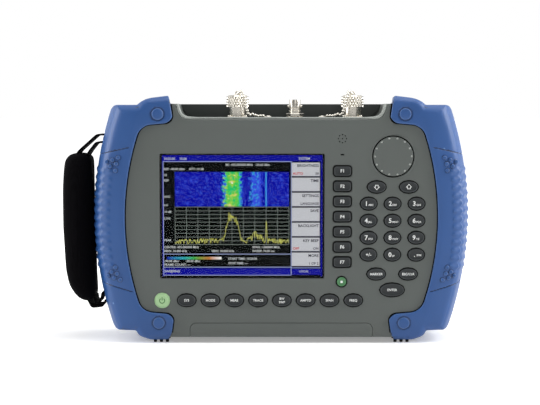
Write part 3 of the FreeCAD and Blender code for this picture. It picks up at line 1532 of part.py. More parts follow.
def make_webbing():
    bands = []
    for level in ("upper", "lower"):
        points = [FreeCAD.Vector(x, 0, z) for x, z in webbing_route(level)]
        bands.append(ribbon(points, size("webbing_thickness"), size("webbing_width")))
    webbing = doc.addObject("Part::Feature", "webbing")
    webbing.Shape = Part.makeCompound(bands)
    finish_node(webbing, "strap_webbing")


def check_document():
    """Stop if any object failed, or any sub-part is empty or not valid."""
    for item in doc.Objects:
        if "Invalid" in item.State or "Error" in item.State:
            raise RuntimeError(f"{item.Name} failed")
    for name, item in NODES.items():
        if item.Shape.isNull() or not item.Shape.isValid() or not item.Shape.Solids:
            raise RuntimeError(f"{name} has no valid solid")


def write_parts():
    os.makedirs("parts", exist_ok=True)
    for name, item in NODES.items():
        item.Shape.exportStep(f"parts/{name}.step")


block = make_case_block()
shell = make_case_shell()
make_front_case(shell)
make_rear_case(shell)
make_bumpers(block)
make_display()
make_keys()
make_keypad_layers()
make_knob()
make_encoder()
make_connector_panel()
make_rf_connector("rf_output_connector", "rf_output_x")
make_rf_connector("rf_input_connector", "rf_input_x")
make_cap("rf_output_cap", "rf_output_x")
make_cap("rf_input_cap", "rf_input_x")
make_reference_connector()
make_sockets()
make_chains()
make_boards()
make_screws()
make_battery()
make_battery_door()
make_stand()
make_strap_pad()
make_webbing()
doc.recompute()
check_document()
write_parts()
print(f"{len(NODES)} sub-parts")
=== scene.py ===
import math
import random

import bmesh
import bpy
import numpy as np
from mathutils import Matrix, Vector


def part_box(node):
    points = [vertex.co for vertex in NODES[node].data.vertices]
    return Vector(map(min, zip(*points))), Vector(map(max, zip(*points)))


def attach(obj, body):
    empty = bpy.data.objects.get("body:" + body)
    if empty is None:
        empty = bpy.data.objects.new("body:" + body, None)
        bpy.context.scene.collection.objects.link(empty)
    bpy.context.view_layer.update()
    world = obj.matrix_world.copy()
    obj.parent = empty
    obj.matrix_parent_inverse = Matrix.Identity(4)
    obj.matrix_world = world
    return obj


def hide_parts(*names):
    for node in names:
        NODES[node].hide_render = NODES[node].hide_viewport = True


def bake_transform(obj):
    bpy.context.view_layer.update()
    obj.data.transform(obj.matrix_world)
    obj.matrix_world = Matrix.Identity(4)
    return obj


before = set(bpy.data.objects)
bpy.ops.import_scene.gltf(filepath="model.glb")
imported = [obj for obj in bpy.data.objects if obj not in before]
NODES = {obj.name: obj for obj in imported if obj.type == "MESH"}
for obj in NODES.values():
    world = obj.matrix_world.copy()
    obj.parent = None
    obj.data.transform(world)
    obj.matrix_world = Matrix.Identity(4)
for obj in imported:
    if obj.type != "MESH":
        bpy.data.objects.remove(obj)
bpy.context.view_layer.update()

# Frame of the whole instrument. Sizes below are in millimetres, X from the middle of the case.

MM = 0.001
CASE_LOW, CASE_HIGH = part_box("front_case")
CASE_X = (CASE_LOW.x + CASE_HIGH.x) / 2
MIDDLE_Z = (CASE_LOW.z + CASE_HIGH.z) / 2 / MM
FACE_Y = CASE_LOW.y / MM


def turns(count):
    """Even turns round a circle, in radians."""
    return [2 * math.pi * step / count for step in range(count)]


def ramp(value, start, end):
    """0 before start and 1 after end, or the other way round, and even steps between."""
    return min(max((value - start) / (end - start), 0.0), 1.0)


def spot(x, y, z):
    """A point of the frame in metres, from millimetres about the middle of the case."""
    return Vector((CASE_X + x * MM, y * MM, z * MM))


def node_centre(name):
    """The middle of a CAD node's box, in millimetres about the middle of the case."""
    low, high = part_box(name)
    middle = (low + high) / 2
    return Vector(((middle.x - CASE_X) / MM, middle.y / MM, middle.z / MM))


def node_size(name):
    """The size of a CAD node's box in millimetres."""
    low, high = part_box(name)
    return (high - low) / MM


# Materials

def colour(red, green, blue):
    """A screen colour, 0 to 255, as the linear colour that Blender takes."""
    parts = [value / 255 for value in (red, green, blue)]
    linear = [part / 12.92 if part <= 0.04045 else ((part + 0.055) / 1.055) ** 2.4 for part in parts]
    return (*linear, 1.0)


def scaled(shade, factor):
    """A shade made darker or paler."""
    return (*[min(part * factor, 1.0) for part in shade[:3]], 1.0)


class Surface:
    """A material that is put together node by node."""

    def __init__(self, name, base, roughness, metallic=0.0, specular=0.5):
        self.material = bpy.data.materials.new(name)
        self.material.use_nodes = True
        self.tree = self.material.node_tree
        self.shader = self.tree.nodes["Principled BSDF"]
        self.place = self.add("ShaderNodeTexCoord").outputs["Object"]
        self.set("Base Color", base)
        self.set("Roughness", roughness)
        self.set("Metallic", metallic)
        self.set("Specular IOR Level", specular)

    def add(self, kind, **settings):
        node = self.tree.nodes.new(kind)
        for key, value in settings.items():
            setattr(node, key, value)
        return node

    def set(self, socket, value):
        self.shader.inputs[socket].default_value = value

    def feed(self, node, **values):
        """Give a node's sockets, named without spaces, a number or another node's output."""
        for name, value in values.items():
            by_number = name[0] == "i" and name[1:].isdigit()
            socket = node.inputs[int(name[1:]) if by_number else name]
            if isinstance(value, bpy.types.NodeSocket):
                self.tree.links.new(value, socket)
            else:
                socket.default_value = value
        return node

    def noise(self, size, detail=2.0, stretch=(1, 1, 1)):
        """Smooth noise with features of about that size in millimetres."""
        stretched = self.add("ShaderNodeMapping")
        self.feed(stretched, Vector=self.place, Scale=stretch)
        texture = self.add("ShaderNodeTexNoise")
        self.feed(texture, Vector=stretched.outputs[0], Scale=1 / (size * MM), Detail=detail)
        return texture.outputs["Fac"]

    def math(self, operation, first, second=0.0):
        node = self.add("ShaderNodeMath", operation=operation)
        self.feed(node, i0=first, i1=second)
        return node.outputs[0]

    def range(self, value, start, end, low, high):
        """Value from start to end becomes low to high."""
        node = self.add("ShaderNodeMapRange")
        self.feed(node, Value=value)
        for name, number in (("From Min", start), ("From Max", end), ("To Min", low), ("To Max", high)):
            node.inputs[name].default_value = number
        return node.outputs[0]

    def mix(self, factor, first, second):
        node = self.add("ShaderNodeMix", data_type="RGBA")
        self.feed(node, i0=factor, i6=first, i7=second)
        return node.outputs[2]

    def attribute(self, name):
        return self.add("ShaderNodeAttribute", attribute_name=name).outputs["Fac"]

    def axes(self):
        """The place on the object along X, Y and Z."""
        split = self.add("ShaderNodeSeparateXYZ")
        self.feed(split, Vector=self.place)
        return split.outputs

    def gap(self, value, place):
        """How far a value is from a place, either way."""
        return self.math("ABSOLUTE", self.math("SUBTRACT", value, place))

    def drive(self, socket, output):
        self.tree.links.new(output, self.shader.inputs[socket])

    def paint(self, output):
        self.drive("Base Color", output)

    def painted(self):
        """What feeds the base colour so far."""
        return self.shader.inputs["Base Color"].links[0].from_socket

    def bump(self, height, depth, rounding=0.0):
        """Small relief of that depth in millimetres. Rounding softens the edges' shading by a radius."""
        node = self.add("ShaderNodeBump")
        self.feed(node, Strength=1.0, Distance=depth * MM, Height=height)
        if rounding:
            bevel = self.add("ShaderNodeBevel", samples=4)
            self.feed(bevel, Radius=rounding * MM)
            self.feed(node, Normal=bevel.outputs[0])
        self.drive("Normal", node.outputs[0])
        return self


def moulded(name, base, roughness, grain=0.5, depth=0.02, cloud=0.07, rounding=0.0, specular=0.5):
    """Moulded plastic or rubber: a fine grain, slow changes of shade and of gloss."""
    surface = Surface(name, base, roughness, specular=specular)
    slow = surface.noise(28, 3)
    fine = surface.noise(grain, 2)
    shade = surface.mix(slow, scaled(base, 1 - cloud), scaled(base, 1 + cloud))
    specks = surface.range(fine, 0.3, 0.7, 0.0, 1.0)
    surface.paint(surface.mix(specks, shade, surface.mix(slow, scaled(base, 1), scaled(base, 1 + 2 * cloud))))
    surface.drive("Roughness", surface.range(fine, 0.25, 0.75, roughness - 0.06, roughness + 0.06))
    return surface.bump(fine, depth, rounding=rounding)


def edge_highlight(surface, tint, strength=0.6):
    """Painted highlight: a paler shade along convex edges, standing in for light caught on rounded rims."""
    geometry = surface.add("ShaderNodeNewGeometry")
    edge = surface.range(geometry.outputs["Pointiness"], 0.52, 0.60, 0.0, strength)
    surface.paint(surface.mix(edge, surface.painted(), tint))
    return surface


def groove_shade(surface, tint):
    """Painted shade: darker by the mesh's groove layer, which holds the parting grooves, the foot of the
    bumper's inner wall and the rings round its studs.
    """
    surface.paint(surface.mix(surface.attribute("groove"), surface.painted(), tint))
    return surface


def plated(name, base, roughness, rounding=0.0):
    """Plated metal with faint brushing and spots."""
    surface = Surface(name, base, roughness, metallic=1.0)
    haze = surface.noise(1.6, 3)
    fine = surface.noise(0.25, 2, (1, 1, 0.2))
    surface.paint(surface.mix(haze, scaled(base, 0.82), base))
    surface.drive("Roughness", surface.range(haze, 0.3, 0.7, roughness - 0.06, roughness + 0.10))
    return surface.bump(fine, 0.006, rounding=rounding)


def woven(name, base, pitch, depth):
    """Dull cloth with threads crossing over and under each other, across and along the strap."""
    surface = Surface(name, base, 0.85, specular=0.04)
    places = surface.axes()
    waves = [surface.math("SINE", surface.math("MULTIPLY", places[axis], math.pi / (pitch * MM)))
             for axis in ("Y", "Z")]
    height = surface.math("ABSOLUTE", surface.math("MULTIPLY", *waves))
    slow = surface.noise(14, 3)
    shade = surface.mix(slow, scaled(base, 0.75), scaled(base, 1.35))
    # The hollows between the threads are painted darker, as shade.
    surface.paint(surface.mix(height, scaled(base, 0.55), shade))
    return surface.bump(height, depth)


SCREEN_GLOW = 0.9
FALL_GLOW = 0.8


def lit(name, shade):
    """A part of the picture on the display, lit from behind through the panel's dots."""
    surface = Surface(name, scaled(shade, 0.05), 0.5, specular=0.0)
    dots = surface.noise(0.35, 1)
    glow = surface.mix(surface.range(dots, 0.3, 0.7, 0.0, 1.0), scaled(shade, 0.9), scaled(shade, 1.05))
    surface.drive("Emission Color", glow)
    surface.set("Emission Strength", SCREEN_GLOW)
    return surface.material


CASE_GREY = colour(84, 89, 86)
BUMPER_BLUE = colour(32, 75, 134)
# Paler blue painted on the bumpers' and studs' convex edges as a highlight.
BUMPER_EDGE_HIGHLIGHT = colour(112, 146, 192)
MATERIALS = {}


def make_materials():
    """Every surface of the instrument, by a short name."""
    made = {
        "case": moulded("case_plastic", CASE_GREY, 0.52, 0.45, 0.03, 0.05, rounding=0.5),
        # Bumper rubber and studs: a painted highlight in paler blue along their convex edges.
        "bumper": groove_shade(edge_highlight(moulded("bumper_rubber", BUMPER_BLUE, 0.46, 0.6, 0.025, 0.06),
                               # The dark blue is painted shade in the grooves, at the foot of the inner wall
                               # and round the studs.
                               BUMPER_EDGE_HIGHLIGHT), colour(10, 26, 58)),
        "stud": edge_highlight(moulded("bumper_studs", BUMPER_BLUE, 0.44, 0.6, 0.02, 0.05), BUMPER_EDGE_HIGHLIGHT),
        "dark": moulded("panel_plastic", colour(44, 49, 47), 0.5, 0.5, 0.03, 0.08, rounding=0.4),
        "mat": moulded("mat_silicone", colour(26, 28, 29), 0.6, 0.6, 0.02, 0.1),
        "board": moulded("board_laminate", colour(28, 86, 52), 0.4, 1.2, 0.02, 0.12, rounding=0.2),
        "shield": plated("shield_metal", colour(176, 178, 176), 0.34, rounding=0.4),
        "encoder": plated("encoder_metal", colour(160, 160, 156), 0.3, rounding=0.2),
        "nickel": plated("nickel", colour(214, 209, 198), 0.22),
        "chain": plated("chain_metal", colour(222, 218, 208), 0.24),
        "screw": plated("screw_steel", colour(120, 122, 124), 0.32, rounding=0.15),
        "gold": plated("contact_gold", colour(214, 172, 92), 0.25),
        "white": moulded("insulator", colour(226, 222, 208), 0.4, 0.4, 0.01, 0.04),
        "socket": moulded("socket_plastic", colour(22, 23, 24), 0.45, 0.4, 0.02, 0.1, rounding=0.3),
        "battery": moulded("battery_plastic", colour(40, 42, 44), 0.55, 0.5, 0.02, 0.08, rounding=0.6),
        # Near-black of the keys' skirts, painted shade for the gap round each key; the bumpers' feet use it
        # too.
        "skirt": moulded("key_skirt_shade", colour(5, 6, 6), 0.55, 0.5, 0.01, 0.1, specular=0.15),
        # Keys: a painted highlight in paler grey along their convex rims.
        "key": edge_highlight(moulded("key_plastic", colour(30, 34, 36), 0.42, 0.35, 0.015, 0.07, specular=0.35),
                    colour(104, 110, 112), 0.8),
        "preset": moulded("preset_plastic", colour(66, 120, 76), 0.42, 0.35, 0.015, 0.07),
        "power": moulded("power_plastic", colour(160, 196, 146), 0.42, 0.35, 0.015, 0.07),
        "legend": moulded("legend_ink", colour(232, 234, 232), 0.55, 0.3, 0.004, 0.03),
        "green_ink": moulded("green_ink", colour(58, 112, 52), 0.55, 0.3, 0.004, 0.03),
        "knob": moulded("knob_plastic", colour(82, 87, 84), 0.44, 0.4, 0.02, 0.05),
        # Pale grey painted on the knob's dimple floors as highlights.
        "dimple": moulded("knob_dimple_highlight", colour(165, 170, 165), 0.4, 0.4, 0.01, 0.05),
        # Near-black used as painted shade along each bumper's inner edge and at the bottom of the knob's
        # well; also behind the speaker holes and in the sensor's lens.
        "black": moulded("dark_gap_shade", colour(4, 5, 5), 0.7, 0.6, 0.01, 0.2, specular=0.1),
        # Paler, glossier grey of the bead on the bay's lip: a painted highlight.
        "trim": moulded("bay_lip_highlight", colour(150, 155, 150), 0.34, 0.5, 0.01, 0.04),
        "pad": woven("strap_fabric", colour(9, 8, 11), 0.55, 0.10),
        "webbing": woven("webbing_fabric", colour(9, 9, 11), 1.1, 0.25),
        "panel": moulded("display_panel", colour(7, 8, 9), 0.35, 6.0, 0.004, 0.1, specular=0.1),
    }
    MATERIALS.update({name: surface.material for name, surface in made.items()})


WINDOW_IOR = 1.11


def make_glass():
    """Clear acrylic with a faint unevenness of its tint."""
    tint = (0.97, 0.98, 0.98, 1.0)
    surface = Surface("window_glass", tint, 0.0)
    surface.set("Transmission Weight", 1.0)
    surface.set("IOR", WINDOW_IOR)
    surface.paint(surface.mix(surface.noise(9, 2), scaled(tint, 0.98), tint))
    MATERIALS["glass"] = surface.material


# Building blocks

def new_piece(name, vertices, faces, material, body, smooth=True, choice=None):
    """A mesh in metres. Choice gives each face's place in the list of materials."""
    mesh = bpy.data.meshes.new(name)
    mesh.from_pydata([tuple(vertex) for vertex in vertices], [], faces)
    for item in material if isinstance(material, (list, tuple)) else [material]:
        mesh.materials.append(MATERIALS[item])
    if choice:
        mesh.polygons.foreach_set("material_index", choice)
    mesh.polygons.foreach_set("use_smooth", [smooth] * len(faces))
    mesh.update()
    piece = bpy.data.objects.new(name, mesh)
    bpy.context.scene.collection.objects.link(piece)
    if body:
        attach(piece, body)
    return piece


class Shape:
    """Vertices in millimetres and faces that are gathered before they become a piece."""

    def __init__(self):
        self.points = []
        self.faces = []
        self.choice = []

    def loft(self, rings, start=True, end=True, choice=0):
        """Skin between rings of equal length. Choice is one number, or one for each band."""
        first = len(self.points)
        count = len(rings[0])
        for ring in rings:
            self.points.extend(Vector(point) for point in ring)
        bands = len(rings) - 1
        kinds = choice if isinstance(choice, list) else [choice] * bands
        for band, kind in enumerate(kinds):
            for step in range(count):
                low = first + band * count
                after = (step + 1) % count
                self.faces.append((low + step, low + after, low + count + after, low + count + step))
                self.choice.append(kind)
        if start:
            self.faces.append(tuple(reversed(range(first, first + count))))
            self.choice.append(kinds[0])
        if end:
            low = first + bands * count
            self.faces.append(tuple(range(low, low + count)))
            self.choice.append(kinds[-1])
        return self

    def lathe(self, profile, centre, count, choice=0, relief=None, start=True, end=True):
        """A profile of (radius, height) turned about a vertical line. Relief adds to the radius."""
        rings = []
        for radius, height in profile:
            ring = []
            for turn in turns(count):
                reach = radius + (relief(turn, height) if relief else 0)
                ring.append((centre[0] + reach * math.cos(turn), centre[1] + reach * math.sin(turn), height))
            rings.append(ring)
        return self.loft(rings, start, end, choice)

    def tube(self, path, radius, count=8, closed=False):
        """A round wire through points. Radius is one number, or one for each point."""
        rings = []
        sizes = radius if isinstance(radius, list) else [radius] * len(path)
        path = [Vector(point) for point in path]
        side = Vector((0, 1, 0))
        for index, point in enumerate(path):
            if closed:
                along = path[(index + 1) % len(path)] - path[index - 1]
            else:
                along = path[min(index + 1, len(path) - 1)] - path[max(index - 1, 0)]
            along.normalize()
            across = along.cross(side)
            if across.length < 0.1:
                across = along.cross(Vector((1, 0, 0)))
            across.normalize()
            up = across.cross(along).normalized()
            rings.append([point + sizes[index] * (math.cos(turn) * across + math.sin(turn) * up)
                          for turn in turns(count)])
        if closed:
            rings.append(rings[0])
        return self.loft(rings, not closed, not closed)

    def piece(self, name, material, body, slot=None, smooth=True):
        vertices = [spot(*point) for point in self.points]
        made = new_piece(name, vertices, self.faces, material, body, smooth, self.choice)
        tidy_normals(made)
        return made


TINY = 1e-7


def tidy_normals(piece):
    """Join equal points and turn all faces outwards."""
    work = bmesh.new()
    work.from_mesh(piece.data)
    bmesh.ops.remove_doubles(work, verts=work.verts, dist=TINY)
    bmesh.ops.recalc_face_normals(work, faces=work.faces)
    work.to_mesh(piece.data)
    work.free()


def apply_modifiers(piece):
    """Give the piece the mesh that its modifiers make."""
    graph = bpy.context.evaluated_depsgraph_get()
    mesh = bpy.data.meshes.new_from_object(piece.evaluated_get(graph))
    piece.modifiers.clear()
    piece.data = mesh


def smooth_faces(piece):
    piece.data.polygons.foreach_set("use_smooth", [True] * len(piece.data.polygons))


def sharp_edges(piece, angle):
    """Smooth shading, apart from edges steeper than an angle in degrees."""
    smooth_faces(piece)
    piece.data.set_sharp_from_angle(angle=math.radians(angle))


OVAL_POINTS, OVAL_POWER = 56, 2.15


def oval(width, height):
    """Points round an oval that is a little squarer than an ellipse."""
    points = []
    for turn in turns(OVAL_POINTS):
        cosine, sine = math.cos(turn), math.sin(turn)
        points.append((math.copysign(abs(cosine) ** (2 / OVAL_POWER), cosine) * width / 2,
                       math.copysign(abs(sine) ** (2 / OVAL_POWER), sine) * height / 2))
    return points


def front_ring(x, z, reach, y, count):
    """Points round a circle that faces the front."""
    return [(x + reach * math.cos(turn), y, z + reach * math.sin(turn)) for turn in turns(count)]


def lifted(profile, level):
    """A profile of steps of radius and height, lifted to a level."""
    return [(radius, level + height) for radius, height in profile]


def rounded_box(width, height, radius, steps=6):
    """Points round a rectangle with round corners."""
    points = []
    for quarter, (side_x, side_z) in enumerate(((1, 1), (-1, 1), (-1, -1), (1, -1))):
        for step in range(steps + 1):
            turn = math.pi / 2 * (quarter + step / steps)
            points.append((side_x * (width / 2 - radius) + radius * math.cos(turn),
                           side_z * (height / 2 - radius) + radius * math.sin(turn)))
    return points


def words(text, height, x, z, y, align="CENTER"):
    """The outline of a word on a surface that faces the front, as a list of vertices and faces."""
    curve = bpy.data.curves.new("words", "FONT")
    curve.body = text
    curve.size = height / 0.7
    curve.align_x = align
    curve.align_y = "CENTER"
    curve.extrude = 0.02
    curve.offset = 0.03 * height
    curve.resolution_u = 2
    carrier = bpy.data.objects.new("words", curve)
    mesh = bpy.data.meshes.new_from_object(carrier)
    points = [(x + vertex.co.x, y - vertex.co.z, z + vertex.co.y) for vertex in mesh.vertices]
    faces = [tuple(face.vertices) for face in mesh.polygons]
    bpy.data.objects.remove(carrier)
    bpy.data.curves.remove(curve)
    bpy.data.meshes.remove(mesh)
    return points, faces


def add_words(shape, text, height, x, z, y, choice, align="CENTER"):
    """Add a word to a shape, with a place in its list of materials."""
    points, faces = words(text, height, x, z, y, align)
    first = len(shape.points)
    shape.points.extend(Vector(point) for point in points)
    shape.faces.extend(tuple(first + index for index in face) for face in faces)
    shape.choice.extend([choice] * len(faces))


def add_line(shape, points, width, y, choice, closed=False):
    """A flat line with mitred corners through points of a face that looks to the front."""
    count = len(points)
    sides = []
    for index, point in enumerate(points):
        before = points[index - 1] if closed or index else None
        after = points[(index + 1) % count] if closed or index < count - 1 else None
        ways = []
        for a, b in ((before, point), (point, after)):
            if a is not None and b is not None:
                way = Vector((b[0] - a[0], b[1] - a[1]))
                if way.length:
                    ways.append(way.normalized())
        normal = sum((Vector((-way.y, way.x)) for way in ways), Vector((0, 0)))
        normal.normalize()
        reach = width / 2 / max(normal.dot(Vector((-ways[0].y, ways[0].x))), 0.4)
        sides.append((Vector(point) + normal * reach, Vector(point) - normal * reach))
    first = len(shape.points)
    for left, right in sides:
        shape.points.append(Vector((left.x, y, left.y)))
        shape.points.append(Vector((right.x, y, right.y)))
    for index in range(count if closed else count - 1):
        a, b = first + 2 * index, first + 2 * ((index + 1) % count)
        shape.faces.append((a, b, b + 1, a + 1))
        shape.choice.append(choice)


def fillet(a, b, c, radius, steps=6):
    """Points of the round between two lines that meet at b."""
    before, after = (a - b).normalized(), (c - b).normalized()
    half = before.angle(after) / 2
    centre = b + (before + after).normalized() * radius / math.sin(half)
    start = b + before * radius / math.tan(half) - centre
    end = b + after * radius / math.tan(half) - centre
    return [centre + (start * (1 - step / steps) + end * step / steps).normalized() * radius
            for step in range(steps + 1)]


# Case and other parts that keep their CAD shape

CAD_LOOKS = {
    "front_case": "case", "rear_case": "case", "battery_door": "case", "tilt_stand": "case",
    "connector_panel": "dark", "io_sockets": "socket", "battery_pack": "battery", "keypad_mat": "mat",
    "keypad_board": "board", "main_board": "board", "rf_module": "shield", "display_module": "panel",
    "knob_encoder": "encoder", "case_screws": "screw",
}


def dress_nodes():
    """Every CAD node gets its surface, also those that a finer piece stands for."""
    for name, node in NODES.items():
        look = CAD_LOOKS.get(name, "key" if name.endswith("_key") or "soft_key" in name else "dark")
        node.data.materials.clear()
        node.data.materials.append(MATERIALS[look])


LOW_EDGE_DROP, LOW_EDGE_START, LOW_EDGE_END = 3.8, 29.0, 21.0
LOW_EDGE_INNER, LOW_EDGE_OUTER = 104.0, 112.0


def make_case_skins():
    """Copies of the shells and the battery door, with the lower edge drawn down as far as it shows."""
    for name, body in (("front_case", "case"), ("rear_case", "case"), ("battery_door", "door")):
        piece = bpy.data.objects.new(name + "_skin", NODES[name].data.copy())
        bpy.context.scene.collection.objects.link(piece)
        for vertex in piece.data.vertices:
            drop = LOW_EDGE_DROP * ramp(vertex.co.z / MM, LOW_EDGE_START, LOW_EDGE_END)
            vertex.co.z -= drop * ramp(abs(vertex.co.x - CASE_X) / MM, LOW_EDGE_OUTER, LOW_EDGE_INNER) * MM
        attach(piece, body)
        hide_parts(name)


# Bumpers

BUMPER_FRONT, BUMPER_BACK = -33.2, 34.0
BUMPER_MIDDLE = (BUMPER_FRONT + BUMPER_BACK) / 2
SIDE_RADIUS = 287.0
SIDE_AXIS = 157.6 - SIDE_RADIUS
CROWN_RADIUS, CROWN_EDGE = 75.0, 8.0
CROWN_FLAT = (BUMPER_BACK - BUMPER_FRONT) / 2 - CROWN_EDGE
CROWN_TURN = math.asin(CROWN_FLAT / (CROWN_RADIUS - CROWN_EDGE))
CROWN_WIDTH = CROWN_RADIUS - (CROWN_RADIUS - CROWN_EDGE) * math.cos(CROWN_TURN)
CASE_FRONT = -30.5
GROOVES = (((124.7, 162.4), (147.4, 157.4)), ((122.9, 43.4), (146.3, 49.8)))
GROOVE_WIDTH, GROOVE_DEPTH = 0.8, 0.8
# Strengths of the painted shade at the foot of the inner wall, round the buttons and round the dots.
FOOT_SHADE, BUTTON_SHADE, DOT_SHADE = 1.0, 0.55, 0.7
BUTTON_HOLLOW = 0.5
UPPER_DOTS = ((133.7, 154.1), (138.5, 152.1), (143.6, 150.6), (135.4, 149.0), (140.5, 147.0), (136.1, 143.5))
LOWER_DOTS = ((136.9, 63.5), (135.7, 58.3), (140.1, 59.6), (133.0, 53.2), (138.1, 54.8), (142.9, 56.4))
DOT_RADIUS, DOT_HEIGHT = 1.7, 1.7
BUTTONS = ((101.3, 189.7), (101.3, 17.3))
BUTTON_RADIUS, BUTTON_HEIGHT = 4.7, 1.3
STUD_PROFILE = ((1.0, -0.8), (1.0, 0.35), (0.96, 0.62), (0.88, 0.82), (0.72, 0.93), (0.45, 0.98), (0.15, 1.0))
RIB_REACH, RIB_INNER = 46.0, 138.0
SKIN_VOXEL = 0.7
CALM_STEPS = 5
ROLL_DEPTH, ROLL_WIDTH, ROLL_REACH, TOP_ROLL = 6.6, 26.0, 6.0, 2.4
ARM_SLANT, KNUCKLE_SLANT = 2.2, 2.4
KNUCKLE_X, KNUCKLE_OUTER, KNUCKLE_PINCH = 100.0, 110.0, 0.22
KNUCKLE_FADE, KNUCKLE_EDGE = 114.0, 122.0
FACET_STOPS, FACET_TURNS = (0.4, 1.0), (60, 90)
SLANT_START, SLANT_RISE, SLANT_FALL = 113.0, (68.0, 75.0), (88.0, 79.0)
FOOT_LIFT, FOOT_HEIGHT = 2.0, 10.0
FOOT_DOTS_X, FOOT_DOTS_Y = (95.0, 100.0, 105.0), (-25.0, -9.0, 9.0, 25.0)
FOOT_DOT = ((1.4, FOOT_LIFT + 1.5), (1.4, 0.5), (1.2, 0.1), (0.6, 0.0))
CASE_HALF_HEIGHT = 94.6
ARM_END, ARM_END_FADE, ARM_INNER, ARM_TOP = 88.5, 106.0, 77.0, 101.8
ARM_LEAN, ARM_LEAN_LEFT, ARM_DRAW = 2.7, 2.0, 7.5
ARM_ROUND, ELBOW_ROUND = 6.0, 12.0
INNER_RADIUS, INNER_REACH = 226.0, 128.9
SHADE_LINE_WIDTH = 1.6


def crown_reach(depth):
    """How far the crowned side lies from the axis that it turns about, at a distance from mid-depth."""
    if depth < CROWN_RADIUS * math.sin(CROWN_TURN):
        return SIDE_RADIUS - CROWN_RADIUS + math.sqrt(CROWN_RADIUS ** 2 - depth ** 2)
    return SIDE_RADIUS - CROWN_WIDTH + math.sqrt(max(CROWN_EDGE ** 2 - (depth - CROWN_FLAT) ** 2, 0))


def crown_front(x, z):
    """The depth of the bumper's front face at a place on it, where the crown's edge falls away."""
    past = math.hypot(abs(x) - SIDE_AXIS, z - MIDDLE_Z) - SIDE_RADIUS + CROWN_WIDTH
    if past <= 0:
        return BUMPER_FRONT
    return BUMPER_MIDDLE - CROWN_FLAT - math.sqrt(max(CROWN_EDGE ** 2 - past ** 2, 0))


def facet_reach(depth):
    """The same side as the solid has it, in flat bands."""
    depths = [CROWN_RADIUS * math.sin(stop * CROWN_TURN) for stop in FACET_STOPS]
    depths += [CROWN_FLAT + CROWN_EDGE * math.sin(math.radians(turn)) for turn in FACET_TURNS]
    return float(np.interp(depth, depths, [crown_reach(place) for place in depths]))


def bumper_copy(name):
    """The CAD bumper as one fine skin with soft edges, its ribs left crisper than the rest."""
    mesh = NODES[name].data.copy()
    piece = bpy.data.objects.new(name + "_rubber", mesh)
    bpy.context.scene.collection.objects.link(piece)
    remesh = piece.modifiers.new("skin", "REMESH")
    remesh.mode = "VOXEL"
    remesh.voxel_size = SKIN_VOXEL * MM
    apply_modifiers(piece)
    calm = piece.vertex_groups.new(name="calm")
    calm.add([vertex.index for vertex in piece.data.vertices
              if abs(vertex.co.z / MM - MIDDLE_Z) > RIB_REACH or abs(vertex.co.x) / MM < RIB_INNER],
             1.0, "REPLACE")
    for iterations, group in ((2, ""), (CALM_STEPS, "calm")):
        smooth = piece.modifiers.new("soften", "SMOOTH")
        smooth.factor = 0.5
        smooth.iterations = iterations
        smooth.vertex_group = group
    apply_modifiers(piece)
    piece.vertex_groups.clear()
    return piece


def rolled(x, y, z):
    """The depth of a point of the bumper whose front face rolls back towards its outer side."""
    reach = math.hypot(abs(x) - SIDE_AXIS, z - MIDDLE_Z)
    fall = ROLL_DEPTH * ramp(reach, SIDE_RADIUS - ROLL_WIDTH, SIDE_RADIUS) ** 1.5
    fall += TOP_ROLL * ramp(abs(z - MIDDLE_Z), ARM_INNER, ARM_TOP) ** 2
    return y + fall * ramp(y, -ROLL_REACH, BUMPER_FRONT)


def round_sides(piece, side):
    """Move the flat bands of the side out to the true round and roll the front back towards the side.
    The arm's end leans, its edge slants, and the knuckle narrows a little towards its foot."""
    for vertex in piece.data.vertices:
        place_x = side * (vertex.co.x - CASE_X) / MM
        place_y = vertex.co.y / MM
        place_z = vertex.co.z / MM
        x = place_x - SIDE_AXIS
        z = place_z - MIDDLE_Z
        reach = math.hypot(x, z)
        depth = abs(place_y - BUMPER_MIDDLE)
        facet = facet_reach(depth)
        share = ramp(reach, facet - 2.5, facet - 1.0)
        if share > 0 and depth < CROWN_FLAT + CROWN_EDGE:
            move = share * (crown_reach(depth) - facet) / reach
            place_x += x * move
            place_z += z * move
        place_y = rolled(place_x, place_y, place_z)
        end = ramp(place_x, ARM_END_FADE, ARM_END)
        place_x -= ARM_LEAN * end * ramp(abs(z), ARM_INNER, ARM_TOP)
        above = ramp(abs(z), CASE_HALF_HEIGHT - 2.0, CASE_HALF_HEIGHT + 1.5)
        place_x += ARM_DRAW * end * above * ramp(place_y, CASE_FRONT, BUMPER_BACK)
        drawn = ramp(place_x, SLANT_START, ARM_END) * ramp(abs(z), *SLANT_FALL) * ramp(abs(z), *SLANT_RISE)
        place_z += math.copysign(ARM_SLANT * drawn, z)
        knuckle = ramp(place_x, KNUCKLE_EDGE, KNUCKLE_FADE)
        slant = KNUCKLE_SLANT * ramp(place_x, ARM_END, KNUCKLE_OUTER) * ramp(z, CASE_HALF_HEIGHT, ARM_TOP)
        place_z += FOOT_LIFT * ramp(place_z, FOOT_HEIGHT, 0.0) - slant * knuckle
        pinch = KNUCKLE_PINCH * ramp(abs(z), ARM_TOP - 6.0, ARM_TOP) ** 2 * knuckle
        place_x += (KNUCKLE_X - place_x) * pinch * (1.0 if z < 0 else 0.3)
        vertex.co = spot(side * place_x, place_y, place_z)


def bumper_inner_line():
    """The right bumper's inner edge on the case's face, from the top down."""
    def bowed(height):
        return Vector((math.sqrt(INNER_RADIUS ** 2 - height ** 2) - INNER_RADIUS + INNER_REACH, height))

    elbow = bowed(ARM_INNER)
    arm_corner = Vector((ARM_END, ARM_INNER + ARM_SLANT))
    top = Vector((ARM_END + ARM_LEAN_LEFT, CASE_HALF_HEIGHT))
    upper = [top] + fillet(top, arm_corner, elbow, ARM_ROUND)
    upper += fillet(arm_corner, elbow, bowed(ARM_INNER - 12), ELBOW_ROUND)
    side = [bowed(height) for height in np.linspace(ARM_INNER - 16, 16 - ARM_INNER, 30)]
    lower = [Vector((point.x, -point.y)) for point in reversed(upper)]
    return [(point.x, MIDDLE_Z + point.y) for point in upper + side + lower]


